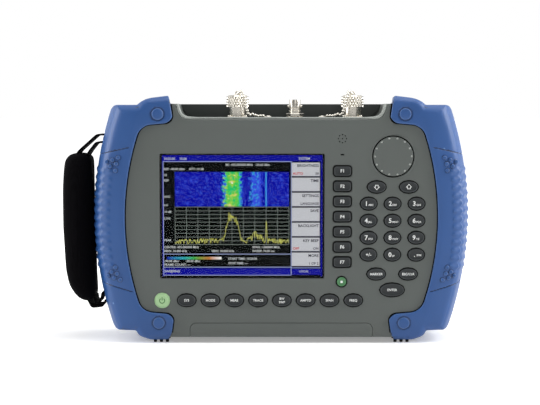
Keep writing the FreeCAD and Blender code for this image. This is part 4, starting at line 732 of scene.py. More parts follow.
def carve_grooves(work, shade_layer, side):
    """Cut the parting grooves across the bumper: three loops of edges, the middle one sunk and given full
    painted shade.
    """
    for start, end in GROOVES:
        a, b = spot(side * start[0], 0, start[1]), spot(side * end[0], 0, end[1])
        along = (b - a).normalized()
        across = Vector((-along.z, 0, along.x))

        def near(vertex, reach):
            place = vertex.co - a
            return abs(place.dot(across)) < reach and place.dot(along) > 0

        for offset in (-GROOVE_WIDTH, 0.0, GROOVE_WIDTH):
            close = [face for face in work.faces if any(near(v, 3 * MM) for v in face.verts)]
            geometry = set(close)
            for face in close:
                geometry.update(face.verts)
                geometry.update(face.edges)
            bmesh.ops.bisect_plane(work, geom=list(geometry), dist=TINY,
                                   plane_co=a + across * offset * MM, plane_no=across)
        work.normal_update()
        sunk = [v for v in work.verts if near(v, 0.25 * MM)]
        places = [v.co - v.normal * GROOVE_DEPTH * MM for v in sunk]
        for vertex, place in zip(sunk, places):
            vertex.co = place
            vertex[shade_layer] = 1.0


def paint_hollow_shade(work, shade_layer, side):
    """Paint shade on the foot of the inner wall, where the bumper meets the case, and on the rings round the
    studs; the rings round the buttons are also sunk a little.
    """
    for vertex in work.verts:
        x, y, z = side * (vertex.co.x - CASE_X) / MM, vertex.co.y / MM, vertex.co.z / MM
        normal = vertex.normal
        if abs(y - CASE_FRONT + 0.2) < 0.95 and side * normal.x * x + normal.z * (z - MIDDLE_Z) < 0:
            vertex[shade_layer] = FOOT_SHADE
        elif y < BUMPER_FRONT + 4:
            for button_x, button_z in BUTTONS:
                gap = math.hypot(x - button_x, z - button_z) - BUTTON_RADIUS
                if abs(gap - 0.45) < 0.75:
                    vertex.co.y += BUTTON_HOLLOW * MM
                    vertex[shade_layer] = BUTTON_SHADE
            for dot_x, dot_z in UPPER_DOTS + LOWER_DOTS:
                if DOT_RADIUS - 0.4 < math.hypot(x - dot_x, z - dot_z) < DOT_RADIUS + 0.5:
                    vertex[shade_layer] = DOT_SHADE


def add_stud(shape, x, z, radius, height, side):
    """A low round button with a rounded rim on the bumper's face."""
    face = rolled(x, crown_front(x, z), z)
    shape.loft([front_ring(side * x, z, radius * share, face - height * rise, 32)
                for share, rise in STUD_PROFILE])


def make_fittings(name, side):
    """The bumper's raised dots and buttons, its feet, and a dark strip of painted shade along its inner edge,
    where it meets the case.
    """
    studs = Shape()
    for x, z in UPPER_DOTS + LOWER_DOTS:
        add_stud(studs, x, z, DOT_RADIUS, DOT_HEIGHT, side)
    for x, z in BUTTONS:
        add_stud(studs, x, z, BUTTON_RADIUS, BUTTON_HEIGHT, side)
    studs.piece(name + "_studs", "stud", "case", "bumper_rubber")
    feet = Shape()
    for x in FOOT_DOTS_X:
        for y in FOOT_DOTS_Y:
            feet.lathe(FOOT_DOT, (side * x, y), 16)
    feet.piece(name + "_feet", "skirt", "case", "bumper_rubber")
    # A near-black strip on the case's face along the bumper's inner edge: painted shade where the bumper
    # meets the case.
    gap = Shape()
    add_line(gap, [(side * x, z) for x, z in bumper_inner_line()], SHADE_LINE_WIDTH, CASE_FRONT - 0.06, 0)
    gap.piece(name + "_gap_shade", "black", "case", "bumper_rubber")


def make_bumpers():
    """Both bumpers: the rubber skin with its grooves, and what is fitted on it."""
    for name, side in (("right_bumper", 1), ("left_bumper", -1)):
        piece = bumper_copy(name)
        round_sides(piece, side)
        work = bmesh.new()
        work.from_mesh(piece.data)
        shade_layer = work.verts.layers.float.new("groove")
        carve_grooves(work, shade_layer, side)
        paint_hollow_shade(work, shade_layer, side)
        work.to_mesh(piece.data)
        work.free()
        piece.data.materials.clear()
        piece.data.materials.append(MATERIALS["bumper"])
        smooth_faces(piece)
        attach(piece, "case")
        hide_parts(name)
        make_fittings(name, side)


# Keys

KEY_SKIRT, POWER_SKIRT = 0.9, 1.15
KEY_HOLLOW = 0.32
KEY_RIM = ((0.55, 0.08), (0.22, 0.22), (0.05, 0.5), (0.0, 0.85), (0.06, 1.15), (0.22, 1.45), (0.30, 1.9),
           (KEY_HOLLOW, 2.8))
SOFT_KEY_ROUND = 2.6
WORD_HEIGHT, DIGIT_HEIGHT, LETTER_HEIGHT = 1.9, 3.7, 1.5
ARROW_LINE, SYMBOL_LINE = 0.46, 0.7
KEY_WORDS = {
    "system_key": "SYS", "mode_key": "MODE", "measure_key": "MEAS", "trace_key": "TRACE",
    "amplitude_key": "AMPTD", "span_key": "SPAN", "frequency_key": "FREQ", "marker_key": "MARKER",
    "escape_key": "ESC/CLR", "enter_key": "ENTER",
}
DIGITS = {
    "one_key": ("1", "ABC"), "two_key": ("2", "DEF"), "three_key": ("3", "GHI"), "four_key": ("4", "JKL"),
    "five_key": ("5", "MNO"), "six_key": ("6", "PQR"), "seven_key": ("7", "STU"), "eight_key": ("8", "VWX"),
    "nine_key": ("9", "YZ"), "zero_key": ("0", "SP"),
}


def key_rings(outline, centre, profile):
    """Rings of a key from steps of depth and inset."""
    width = 2 * max(x for x, z in outline)
    height = 2 * max(z for x, z in outline)
    rings = []
    for y, inset in profile:
        factor_x, factor_z = 1 - 2 * inset / width, 1 - 2 * inset / height
        rings.append([(centre.x + x * factor_x, y, centre.z + z * factor_z) for x, z in outline])
    return rings


def key_shape(name, skirt):
    """A key: skirt in the opening, near-black as painted shade of the gap round the key, wall, rounded rim
    and a face that is slightly hollow.
    """
    low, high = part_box(name)
    size, centre = node_size(name), node_centre(name)
    front, back = low.y / MM, high.y / MM
    level = FACE_Y - 0.15
    if "soft_key" in name:
        outline = rounded_box(size.x, size.z, SOFT_KEY_ROUND)
    else:
        outline = oval(size.x, size.z)
    profile = [(back, 0.0), (level + 0.3, 0.0), (level, 0.3), (level, skirt - 0.15), (level - 0.2, skirt)]
    profile += [(front + depth, skirt + inset) for depth, inset in KEY_RIM]
    choice = [0] * 4 + [1] * len(KEY_RIM)
    return Shape().loft(key_rings(outline, centre, profile), choice=choice), centre, front + KEY_HOLLOW


def arrow_outline(up):
    """A block arrow's corners, pointing up or down."""
    points = [(0, 2.2), (2.1, 0), (1.1, 0), (1.1, -1.5), (-1.1, -1.5), (-1.1, 0), (-2.1, 0)]
    return points if up else [(x, -z) for x, z in points]


def add_legend(shape, name, centre, y):
    """The white words, digits and signs on a key."""
    above = y - 0.03
    if name in DIGITS:
        digit, letters = DIGITS[name]
        add_words(shape, digit, DIGIT_HEIGHT, centre.x - 2.0, centre.z, above, 2)
        add_words(shape, letters, LETTER_HEIGHT, centre.x - 0.3, centre.z - 1.0, above, 2, "LEFT")
    elif name in KEY_WORDS:
        add_words(shape, KEY_WORDS[name], WORD_HEIGHT, centre.x, centre.z, above, 2)
    elif name == "sweep_key":
        for text, rise in (("BW", 1.5), ("SWP", -1.5)):
            add_words(shape, text, 1.8, centre.x, centre.z + rise, above, 2)
    elif name == "sign_key":
        add_words(shape, "+/-", 2.8, centre.x, centre.z, above, 2)
    elif name == "point_key":
        add_words(shape, ".", 3.6, centre.x - 1.4, centre.z, above, 2)
        add_words(shape, "SYM", LETTER_HEIGHT, centre.x + 0.2, centre.z - 0.4, above, 2, "LEFT")
    elif name.startswith("soft_key"):
        add_words(shape, "F" + name[-1], 2.6, centre.x, centre.z, above, 2)
    elif name.startswith("arrow"):
        corners = [(centre.x + x, centre.z + z) for x, z in arrow_outline("up" in name)]
        add_line(shape, corners, ARROW_LINE, above, 2, closed=True)
    elif name == "preset_key":
        dot = [(centre.x + x, above, centre.z + z) for x, z in rounded_box(2.0, 2.0, 0.5)]
        shape.loft([dot, dot], start=True, end=False, choice=2)
    elif name == "power_key":
        ring = [(centre.x + 2.1 * math.sin(turn), centre.z + 2.1 * math.cos(turn))
                for turn in (math.radians(35 + 290 * step / 28) for step in range(29))]
        add_line(shape, ring, SYMBOL_LINE, above, 2)
        add_line(shape, [(centre.x, centre.z + 0.2), (centre.x, centre.z + 2.9)], SYMBOL_LINE, above, 2)


def make_keys():
    """A finer piece for every key, with its legend on it."""
    looks = {"preset_key": ("skirt", "preset", "legend"), "power_key": ("power", "power", "green_ink")}
    slots = {"preset_key": "preset_plastic", "power_key": "power_plastic"}
    for name in NODES:
        if not (name.endswith("_key") or name.startswith("soft_key")):
            continue
        shape, centre, face = key_shape(name, POWER_SKIRT if name == "power_key" else KEY_SKIRT)
        add_legend(shape, name, centre, face)
        piece = shape.piece(name + "_top", looks.get(name, ("skirt", "key", "legend")), name,
                            slots.get(name, "key_plastic"))
        sharp_edges(piece, 50)
        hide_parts(name)


# Knob

KNOB_DIMPLES, FIRST_DIMPLE = 14, 0.46
DIMPLE_RADIUS, DIMPLE_DEPTH, DIMPLE_RING, DIMPLE_HIGHLIGHT_SHARE = 1.3, 0.8, 15.1, 0.62
KNOB_SHRINK, KNOB_ROUND = 0.25, 0.8
KNOB_ROWS, KNOB_COLUMNS = 78, 280
WELL_RADIUS, WELL_DEPTH = 17.25, 1.4
WELL_LIP = ((-0.1, 0.3), (0.0, -0.35), (0.3, -0.55), (0.7, -0.45), (1.2, -0.05), (1.3, 0.3))


def knob_face(x, z, distance, radius, front):
    """The depth of the knob's face, with its rounded rim and its dimples, and the share of a dimple."""
    edge = max(0.0, distance - (radius - KNOB_ROUND)) / KNOB_ROUND
    y = front + KNOB_ROUND * (1 - math.sqrt(max(0.0, 1 - edge * edge)))
    step = 2 * math.pi / KNOB_DIMPLES
    nearest = (round(math.atan2(x, z) / step - FIRST_DIMPLE) + FIRST_DIMPLE) * step
    gap = math.hypot(x - DIMPLE_RING * math.sin(nearest), z - DIMPLE_RING * math.cos(nearest)) / DIMPLE_RADIUS
    if gap < 1:
        y += DIMPLE_DEPTH * (1 - gap * gap) ** 1.5
    return y, gap


def make_knob():
    """A flat disc with a rounded rim and a ring of dimples whose floors are painted pale as highlights, in a
    well whose bottom is a black ring of painted shade, and a raised lip.
    """
    low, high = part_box("knob")
    centre = node_centre("knob")
    radius = (high.z - low.z) / 2 / MM - KNOB_SHRINK
    front, back = low.y / MM, high.y / MM
    shape = Shape()
    rings, highlighted = [], []
    for row in range(KNOB_ROWS + 1):
        distance = radius * math.sin(math.pi / 2 * (row + 0.5) / (KNOB_ROWS + 0.5))
        ring = []
        for turn in turns(KNOB_COLUMNS):
            x, z = distance * math.sin(turn), distance * math.cos(turn)
            y, gap = knob_face(x, z, distance, radius, front)
            ring.append((centre.x + x, y, centre.z + z))
            # Faces near a dimple's middle take the pale material, a painted highlight.
            highlighted.append(int(gap < DIMPLE_HIGHLIGHT_SHARE))
        rings.append(ring)
    rings.append([(x, back, z) for x, y, z in rings[-1]])
    shape.loft(rings)
    faces = KNOB_ROWS * KNOB_COLUMNS
    shape.choice[:faces] = highlighted[:faces]
    piece = shape.piece("knob_disc", ("knob", "dimple"), "knob", "knob_plastic")
    sharp_edges(piece, 60)
    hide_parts("knob")

    def ring_of(profile):
        return [[(centre.x + reach * math.sin(turn), y, centre.z + reach * math.cos(turn))
                 for turn in turns(96)] for reach, y in profile]

    lip = [(WELL_RADIUS + reach, CASE_FRONT + depth) for reach, depth in WELL_LIP]
    rim = Shape().loft(ring_of(lip), False, False).piece("knob_well_lip", "case", "case", "case_plastic")
    sharp_edges(rim, 60)
    # A black ring in the well between the knob and the well's wall: painted shade in the gap.
    shade_ring = [(WELL_RADIUS - 0.02, CASE_FRONT - 0.2), (WELL_RADIUS - 0.05, CASE_FRONT + WELL_DEPTH),
              (radius - 1.5, CASE_FRONT + WELL_DEPTH)]
    Shape().loft(ring_of(shade_ring), False, False).piece("knob_well_shade_ring", "black", "case", "case_plastic")


# Speaker, light sensor and the painted highlight on the connector bay's lip

SPEAKER_X, SPEAKER_Z, CLOTH_RADIUS = 50.1, 169.5, 5.0
SENSOR_Z, SENSOR_WIDTH, SENSOR_HEIGHT = 156.4, 3.0, 1.1
DECK_Z = 186.8
BAY_HALF_TOP, BAY_HALF_FLOOR, BAY_ROUND = 85.5, 82.0, 8.0
LIP_HIGHLIGHT_THIN, LIP_HIGHLIGHT_THICK = 0.65, 1.35
LIP_HIGHLIGHT_DEPTH, LIP_HIGHLIGHT_SINK = 1.5, 0.25


def make_speaker_cloth():
    """Cloth behind the speaker holes and the sensor's dark lens."""
    holder = Shape()
    holder.loft([front_ring(SPEAKER_X, SPEAKER_Z, CLOTH_RADIUS, CASE_FRONT + depth, 24)
                 for depth in (0.35, 0.65)])
    lens = rounded_box(SENSOR_WIDTH - 0.1, SENSOR_HEIGHT - 0.1, 0.3)
    holder.loft([[(SPEAKER_X + x, CASE_FRONT + depth, SENSOR_Z + z) for x, z in lens] for depth in (0.25, 1)])
    holder.piece("speaker_cloth", "black", "case", "panel_plastic")


def make_bay_lip_highlight():
    """A smooth bead of paler, glossier grey along the bay's lip, thicker in the corners: a painted highlight
    on the lip's rounded edge.
    """
    top, corner = Vector((BAY_HALF_TOP, CASE_HALF_HEIGHT)), Vector((BAY_HALF_FLOOR, DECK_Z - MIDDLE_Z))
    half = [top] + fillet(top, corner, Vector((0.0, corner.y)), BAY_ROUND, 12)
    points = [(-point.x, MIDDLE_Z + point.y) for point in half]
    straight = BAY_HALF_FLOOR - 14
    points += [(x, DECK_Z) for x in np.linspace(-straight, straight, 20)]
    points += [(point.x, MIDDLE_Z + point.y) for point in reversed(half)]
    sizes = [LIP_HIGHLIGHT_THIN + (LIP_HIGHLIGHT_THICK - LIP_HIGHLIGHT_THIN) * ramp(abs(x), BAY_HALF_FLOOR - 12, BAY_HALF_FLOOR - 4)
             for x, z in points]
    path = [(x, CASE_FRONT + LIP_HIGHLIGHT_DEPTH, z - LIP_HIGHLIGHT_SINK) for x, z in points]
    Shape().tube(path, sizes, 16).piece("bay_lip_highlight", "trim", "case", "case_plastic")


# Display

SCREEN_LEFT, SCREEN_RIGHT = -98.4, 33.9
SCREEN_LOW, SCREEN_HIGH = 55.2, 155.9
WINDOW_GAP, WINDOW_ROUND = 0.15, 2.0
SCREEN_Y, LAYER = -26.42, 0.02
LINE_LAYER, GRID_LAYER, READING_LAYER, INK_LAYER, MASK_LAYER = 2.5, 3, 4, 5, 8
SCREEN_COLOURS = {
    "screen_black": (6, 8, 8), "screen_blue": (18, 20, 150), "screen_line": (168, 180, 232),
    "screen_grid": (128, 138, 132), "screen_trace": (216, 216, 100), "screen_text": (196, 200, 200),
    "screen_cell": (196, 197, 202), "screen_cell_dark": (92, 92, 108), "screen_ink": (24, 24, 40),
    "screen_red": (196, 40, 36),
}
PLOT_LEFT, PLOT_RIGHT = -87.9, 6.3
FALL_LOW, FALL_HIGH = 113.5, 142.1
GRID_LOW, GRID_HIGH = 81.9, 113.0
SCALE_LEFT, SCALE_RIGHT, SCALE_LOW, SCALE_HIGH = -94.8, -49.6, 69.4, 71.6
CELL_LEFT, CELL_RIGHT, CELL_TOP, CELL_PITCH = 8.7, 32.1, 149.8, 12.44
CELL_EDGE, CELL_GAP, CELL_MARGIN = 0.5, 0.9, 1.2
GRID_LINE, TRACE_LINE, FRAME_LINE = 0.34, 0.30, 0.45
FRAME_X, FRAME_LOW, FRAME_HIGH = 8.2, 56.3, 150.8
FRAME_LEVELS = (150.6, 73.9, 63.0, FRAME_LOW)
SCREEN_BARS = ((SCREEN_LEFT, SCREEN_RIGHT, 150.9, SCREEN_HIGH), (SCREEN_LEFT, 7.6, 56.6, 62.0),
               (CELL_LEFT, 32.4, 56.6, 61.6), (SCREEN_LEFT, SCREEN_LEFT + 1.0, SCREEN_LOW, SCREEN_HIGH),
               (32.6, SCREEN_RIGHT, SCREEN_LOW, SCREEN_HIGH))


def layer_depth(layer):
    """The depth of a layer of the picture. Higher layers lie in front."""
    return SCREEN_Y - layer * LAYER


def add_panel(shape, left, right, low, high, layer):
    """A flat part of the picture."""
    y = layer_depth(layer)
    first = len(shape.points)
    corners = ((left, y, low), (right, y, low), (right, y, high), (left, y, high))
    shape.points.extend(Vector(corner) for corner in corners)
    shape.faces.append((first, first + 1, first + 2, first + 3))
    shape.choice.append(0)


def show(shape, name, material):
    """Make a shape a piece of the picture."""
    shape.piece(name, material, "case", "display_panel", smooth=False)


def panel(name, left, right, low, high, material, layer):
    """A piece of the picture that is one flat part."""
    shape = Shape()
    add_panel(shape, left, right, low, high, layer)
    show(shape, name, material)


FALL_CELL = 1.05
HOT_BAND, FAINT_BAND, FALL_LINE = -40.6, -21.0, -12.6
FALL_SHADES = ((0.0, (0, 0, 128)), (0.10, (8, 14, 180)), (0.24, (56, 84, 236)), (0.36, (60, 160, 232)),
               (0.46, (40, 205, 190)), (0.58, (48, 212, 60)), (0.72, (140, 224, 40)), (0.86, (228, 214, 40)),
               (1.0, (232, 60, 30)))
SCALE_SHADES = ((0.0, (20, 30, 170)), (0.28, (40, 170, 190)), (0.5, (50, 180, 60)), (0.78, (200, 120, 40)),
                (1.0, (200, 40, 30)))


def shine(surface, value, shades):
    """Light a surface with the shade that a value has on a scale of shades."""
    scale = surface.add("ShaderNodeValToRGB")
    stops = scale.color_ramp.elements
    for index, (position, shade) in enumerate(shades):
        stop = stops[0] if index == 0 else stops.new(position)
        stop.position = position
        stop.color = colour(*shade)
    stops.remove(stops[-1])
    surface.feed(scale, Fac=value)
    surface.drive("Emission Color", scale.outputs[0])
    surface.set("Emission Strength", FALL_GLOW)
    return surface.material


def waterfall_material():
    """Noise in blue with a hot band, a fainter band and a line, over the plot's width."""
    surface = Surface("screen_waterfall", colour(8, 10, 60), 0.5, specular=0.0)
    across = surface.math("MULTIPLY", surface.math("SUBTRACT", surface.axes()["X"], CASE_X), 1 / MM)
    cells = surface.add("ShaderNodeVectorMath", operation="SNAP")
    surface.feed(cells, i0=surface.place, i1=(FALL_CELL * MM, 1.0, FALL_CELL * MM))
    speck_node = surface.add("ShaderNodeTexWhiteNoise")
    surface.feed(speck_node, Vector=cells.outputs[0])
    speck = speck_node.outputs["Value"]
    level = surface.range(speck, 0.62, 1.0, 0.04, 0.26)
    shaken = surface.math("ADD", across, surface.math("MULTIPLY", surface.math("SUBTRACT", speck, 0.5), 3.6))
    for middle, half, strength in ((HOT_BAND, 7.2, 0.56), (FAINT_BAND, 4.4, 0.18)):
        band = surface.range(surface.gap(shaken, middle), half * 0.8, half * 1.1, strength, 0.0)
        level = surface.math("ADD", level, band)
    line = surface.range(surface.gap(across, FALL_LINE), 0.45, 0.6, 0.37, 0.0)
    level = surface.math("MAXIMUM", level, line)
    slow = surface.noise(6.5, 1, (0.5, 1, 1.2))
    blobs = surface.range(slow, 0.48, 0.68, -0.04, 0.30)
    middle = surface.range(surface.gap(across, HOT_BAND), 1.5, 5.0, 1.0, 0.0)
    hot = surface.math("MULTIPLY", blobs, middle)
    return shine(surface, surface.math("ADD", level, hot), FALL_SHADES)


HUMPS = ((HOT_BAND, 7.2, 5.2, 6, 0.75, 1.05), (-20.5, 2.6, 4.0, 4, 0.3, 1.15))
SPIKE_X, SPIKE = -12.4, 4.6
TRACE_STEPS = 230


def signal(x, chance):
    """Height of the trace in grid divisions at a place across the plot."""
    level = 0.9 + chance.uniform(-0.75, 0.75)
    for middle, height, width, power, least, most in HUMPS:
        level += height / (1 + ((x - middle) / width) ** power) * chance.uniform(least, most)
    return max(0.15, level + (SPIKE if abs(x - SPIKE_X) < 0.5 else 0.0))


def make_trace():
    """The signal's line over the grid."""
    chance = random.Random(7)
    points = []
    for step in range(TRACE_STEPS + 1):
        x = PLOT_LEFT + (PLOT_RIGHT - PLOT_LEFT) * step / TRACE_STEPS
        z = GRID_LOW + signal(x, chance) / 10 * (GRID_HIGH - GRID_LOW)
        points.append((x, min(z, GRID_HIGH)))
    shape = Shape()
    for a, b in zip(points, points[1:]):
        add_line(shape, [a, b], TRACE_LINE, layer_depth(INK_LAYER), 0)
    show(shape, "screen_trace_line", "screen_trace")


SCREEN_EDGE = -97.0
READINGS = (
    (SCREEN_EDGE, 152.9, 1.9, "10:25:30"), (-84.0, 152.9, 1.9, "15.06"),
    (-46.0, 147.9, 1.8, "M1: 435.000000 MHz   -24.60 dBm"),
    (SCREEN_EDGE, 144.4, 1.8, "REF: -40.00 dBm     ATT: 10 dB"), (SCREEN_EDGE, 139.4, 1.8, "10"),
    (SCREEN_EDGE, 135.0, 1.8, "REF"), (SCREEN_EDGE, 121.5, 1.8, "AVG"), (SCREEN_EDGE, 114.5, 1.8, "0.0"),
    (SCREEN_EDGE, 109.0, 1.8, "10 dB"), (SCREEN_EDGE, 103.5, 1.8, "LOG"), (SCREEN_EDGE, 85.4, 1.8, "PEAK"),
    (SCREEN_EDGE, 79.6, 1.8, "CENTER: 435.000000 MHz"), (SCREEN_EDGE, 76.4, 1.8, "RBW: 10.000 kHz"),
    (-58.0, 76.4, 1.8, "VBW: 10.000 kHz"), (-24.0, 79.6, 1.8, "SPAN: 1.000000 MHz"),
    (-24.0, 76.4, 1.8, "SWEEP: 74.00 ms"), (SCREEN_EDGE, 68.0, 1.8, "-90.00 dBm        -30.00 dBm"),
    (SCREEN_EDGE, 65.0, 1.8, "FRAME COUNT: ---"), (-44.0, 70.0, 1.8, "START TIME: 10:25:30"),
    (-44.0, 66.2, 1.8, "STOP TIME: ---"), (SCREEN_EDGE, 59.5, 1.9, "SWEEPING"), (15.0, 59.5, 1.7, "LOCAL"),
)


def make_readouts():
    """Generic readings on the screen."""
    text, title = Shape(), Shape()
    y = layer_depth(READING_LAYER)
    for x, z, height, reading in READINGS:
        add_words(text, reading, height, x, z, y, 0, "LEFT")
    show(text, "screen_readings", "screen_text")
    add_words(title, "SYSTEM", 1.9, 19.0, 153.0, y, 0)
    show(title, "screen_title", "screen_text")


CELL_LABELS = (("BRIGHTNESS", "AUTO", "50"), ("TIME", "", ""), ("SETTINGS", "", "LANGUAGE"), ("SAVE", "", ""),
               ("BACKLIGHT", "", ""), ("KEY BEEP", "OFF", "ON"), ("MORE", "", "1 OF 2"))

def make_cells():
    """The seven softkey fields, each a light plate with a dark right and lower edge."""
    plates, edges, ink, red = Shape(), Shape(), Shape(), Shape()
    y, start = layer_depth(INK_LAYER), CELL_RIGHT - CELL_MARGIN
    for index, (title, left, right) in enumerate(CELL_LABELS):
        high = CELL_TOP - index * CELL_PITCH
        low = high - CELL_PITCH + CELL_GAP
        add_panel(plates, CELL_LEFT, CELL_RIGHT, low, high, 2)
        add_panel(edges, CELL_LEFT, CELL_RIGHT, low, low + CELL_EDGE, 3)
        add_panel(edges, CELL_RIGHT - CELL_EDGE, CELL_RIGHT, low, high, 3)
        add_words(ink, title, 2.2, start, high - 2.6, y, 0, "RIGHT")
        if right:
            add_words(ink, right, 2.0, start, low + 2.4, y, 0, "RIGHT")
        if left:
            add_words(red, left, 2.1, CELL_LEFT + 0.8, low + 2.4, y, 0, "LEFT")
    show(plates, "screen_cells", "screen_cell")
    show(edges, "screen_cell_edges", "screen_cell_dark")
    show(ink, "screen_labels", "screen_ink")
    show(red, "screen_states", "screen_red")


def make_grid():
    """Ten by ten divisions behind the trace."""
    shape = Shape()
    y = layer_depth(GRID_LAYER)
    for step in range(11):
        x = PLOT_LEFT + (PLOT_RIGHT - PLOT_LEFT) * step / 10
        z = GRID_LOW + (GRID_HIGH - GRID_LOW) * step / 10
        add_line(shape, [(x, GRID_LOW), (x, GRID_HIGH)], GRID_LINE, y, 0)
        add_line(shape, [(PLOT_LEFT, z), (PLOT_RIGHT, z)], GRID_LINE, y, 0)
    show(shape, "screen_grid_lines", "screen_grid")


def legend_bar_material():
    """The colour scale of the waterfall, from blue to red."""
    surface = Surface("screen_scale", colour(20, 20, 30), 0.5, specular=0.0)
    start, end = (CASE_X + x * MM for x in (SCALE_LEFT, SCALE_RIGHT))
    return shine(surface, surface.range(surface.axes()["X"], start, end, 0.0, 1.0), SCALE_SHADES)


def make_screen_frame():
    """The blue bars round the picture and the pale lines between its fields."""
    bars = Shape()
    for edges in SCREEN_BARS:
        add_panel(bars, *edges, 1)
    show(bars, "screen_bars", "screen_blue")
    lines = Shape()
    y = layer_depth(LINE_LAYER)
    for z in FRAME_LEVELS:
        add_line(lines, [(SCREEN_LEFT + 0.8, z), (FRAME_X, z)], FRAME_LINE, y, 0)
    for x in (FRAME_X, SCREEN_LEFT + 0.9):
        add_line(lines, [(x, FRAME_LOW), (x, FRAME_HIGH)], FRAME_LINE, y, 0)
    add_line(lines, [(FRAME_X, 62.4), (32.4, 62.4)], 0.4, y, 0)
    show(lines, "screen_lines", "screen_line")


def make_window():
    """The clear window, and the dark mask between it and the picture."""
    low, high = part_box("display_window")
    size, centre = node_size("display_window"), node_centre("display_window")
    front, back = low.y / MM, high.y / MM - WINDOW_GAP
    outline = rounded_box(size.x, size.z, WINDOW_ROUND)
    rings = [[(centre.x + x, y, centre.z + z) for x, z in outline] for y in (front, back)]
    window = Shape().loft(rings).piece("clear_window", "glass", "case", "window_glass", smooth=False)
    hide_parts("display_window")
    inner = rounded_box(SCREEN_RIGHT - SCREEN_LEFT, SCREEN_HIGH - SCREEN_LOW, 0.8)
    middle = ((SCREEN_LEFT + SCREEN_RIGHT) / 2, (SCREEN_LOW + SCREEN_HIGH) / 2)
    outer = rounded_box(size.x - 0.6, size.z - 0.6, 1.5)
    y = layer_depth(MASK_LAYER)
    rings = [[(centre.x + x, y, centre.z + z) for x, z in outer],
             [(middle[0] + x, y, middle[1] + z) for x, z in inner]]
    Shape().loft(rings, False, False).piece("window_mask", "panel", "case", "window_glass", smooth=False)


def make_display():
    """The picture on the panel, and the window in front of it."""
    for name, shade in SCREEN_COLOURS.items():
        MATERIALS[name] = lit(name, colour(*shade))
    MATERIALS["screen_waterfall"] = waterfall_material()
    MATERIALS["screen_scale"] = legend_bar_material()
    panel("screen_ground", SCREEN_LEFT, SCREEN_RIGHT, SCREEN_LOW, SCREEN_HIGH, "screen_black", 0)
    make_screen_frame()
    panel("screen_waterfall_plot", PLOT_LEFT, PLOT_RIGHT, FALL_LOW, FALL_HIGH, "screen_waterfall", 2)
    panel("screen_colour_scale", SCALE_LEFT, SCALE_RIGHT, SCALE_LOW, SCALE_HIGH, "screen_scale", 2)
    make_grid()
    make_trace()
    make_cells()
    make_readouts()
    make_window()


# Connectors, dust caps and chains

CAP_TOP, CAP_BORE, CAP_STEPS = 205.4, 7.95, 216
CAP_CROWN = ((6.2, 0.0), (5.8, -0.25), (5.2, -0.25), (4.8, 0.0), (2.4, 0.1))
CAP_STEM = ((1.9, 0.0), (1.9, 0.5), (1.5, 0.8))
KNURL_DEPTH, KNURL_AROUND, KNURL_PITCH, KNURL_ROWS = 0.75, 26, 4.4, 44
LOOP_RADIUS, LOOP_WIRE = 1.95, 0.65
THREAD_PITCH, THREAD_DEPTH, THREAD_RADIUS, THREAD_START, THREAD_STEP = 1.06, 0.32, 7.85, 9.4, 0.14


def knurl(turn, height):
    """Diamond relief of a knurled rim, in millimetres."""
    slope = 2 * math.pi / KNURL_PITCH
    first = abs(math.sin(KNURL_AROUND * turn / 2 + slope * height / 2))
    second = abs(math.sin(KNURL_AROUND * turn / 2 - slope * height / 2))
    return KNURL_DEPTH * min(first, second) ** 0.8


def make_cap(name, body):
    """A dust cap with a knurled rim, a turned top and the ring that its chain hangs on."""
    low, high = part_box(name)
    centre = node_centre(name)
    bottom, top = low.z / MM, CAP_TOP
    shape = Shape()
    body_radius = (high.x - low.x) / 2 / MM - KNURL_DEPTH
    profile = [(CAP_BORE, bottom + 1.2), (CAP_BORE, bottom), (body_radius - 0.4, bottom),
               (body_radius - 0.1, bottom + 0.2)]
    shape.lathe(profile, centre, CAP_STEPS, start=False, end=False)
    edge = top - 1.2
    profile = [(body_radius, height) for height in np.linspace(bottom + 0.2, edge, KNURL_ROWS + 1)]
    shape.lathe(profile, centre, CAP_STEPS, relief=knurl, start=False, end=False)
    profile = [(body_radius, edge), (body_radius - 0.3, edge + 0.3), (body_radius - 0.6, edge + 0.9),
               (body_radius - 1.2, top)]
    shape.lathe(profile + lifted(CAP_CROWN, top), centre, CAP_STEPS, start=False, end=True)
    shape.lathe([(CAP_BORE, bottom + 1.2), (CAP_BORE, top - 2.5)], centre, 64, start=False, end=True)
    ring_centre = high.z / MM - 2.6
    shape.lathe(lifted(CAP_STEM, top), centre, 32)
    loop = [(centre.x + LOOP_RADIUS * math.sin(turn), centre.y, ring_centre + LOOP_RADIUS * math.cos(turn))
            for turn in turns(28)]
    shape.tube(loop, LOOP_WIRE, 10, closed=True)
    piece = shape.piece(name + "_metal", "nickel", body, "nickel")
    sharp_edges(piece, 40)
    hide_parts(name)


def thread(turn, height):
    """Fine thread on a connector barrel."""
    return -THREAD_DEPTH * abs(((height / THREAD_PITCH - turn / (2 * math.pi)) % 1.0) * 2 - 1)


RF_FLANGE = ((0.0, 0.0), (0.7, 0.0), (0.9, 0.15), (1.0, 0.4))
RF_SCREW = ((1.5, 1.0), (1.5, 1.5), (1.2, 1.9), (0.6, 2.0), (0.45, 1.6))
RF_MOUTH = ((7.4, -0.6), (7.1, 0.0), (5.4, 0.0), (5.2, -0.3), (5.2, -9.0))
RF_INSULATOR = ((5.15, -8.9), (5.15, -6.5), (2.4, -6.5), (2.4, -5.5), (1.9, -5.4))
RF_CONTACT = ((1.5, -8.9), (1.5, -2.6), (1.25, -2.2), (0.9, -2.2), (0.85, -5))
BAYONET_WASHER = ((7.2, 0.0), (7.2, 0.8), (6.9, 1.0), (4.6, 1.0))
BAYONET_NUT, NUT_STEPS = 7.452, ((1.0, 0.97), (1.2, 1.0), (3.3, 1.0), (3.6, 0.96))
BAYONET_BARREL = ((4.6, 3.6), (4.6, 4.4), (5.3, 4.6), (5.3, 5.6), (4.8, 5.9), (4.8, 7.5), (4.6, 7.7),
                  (4.6, 8.0), (4.8, 8.2))
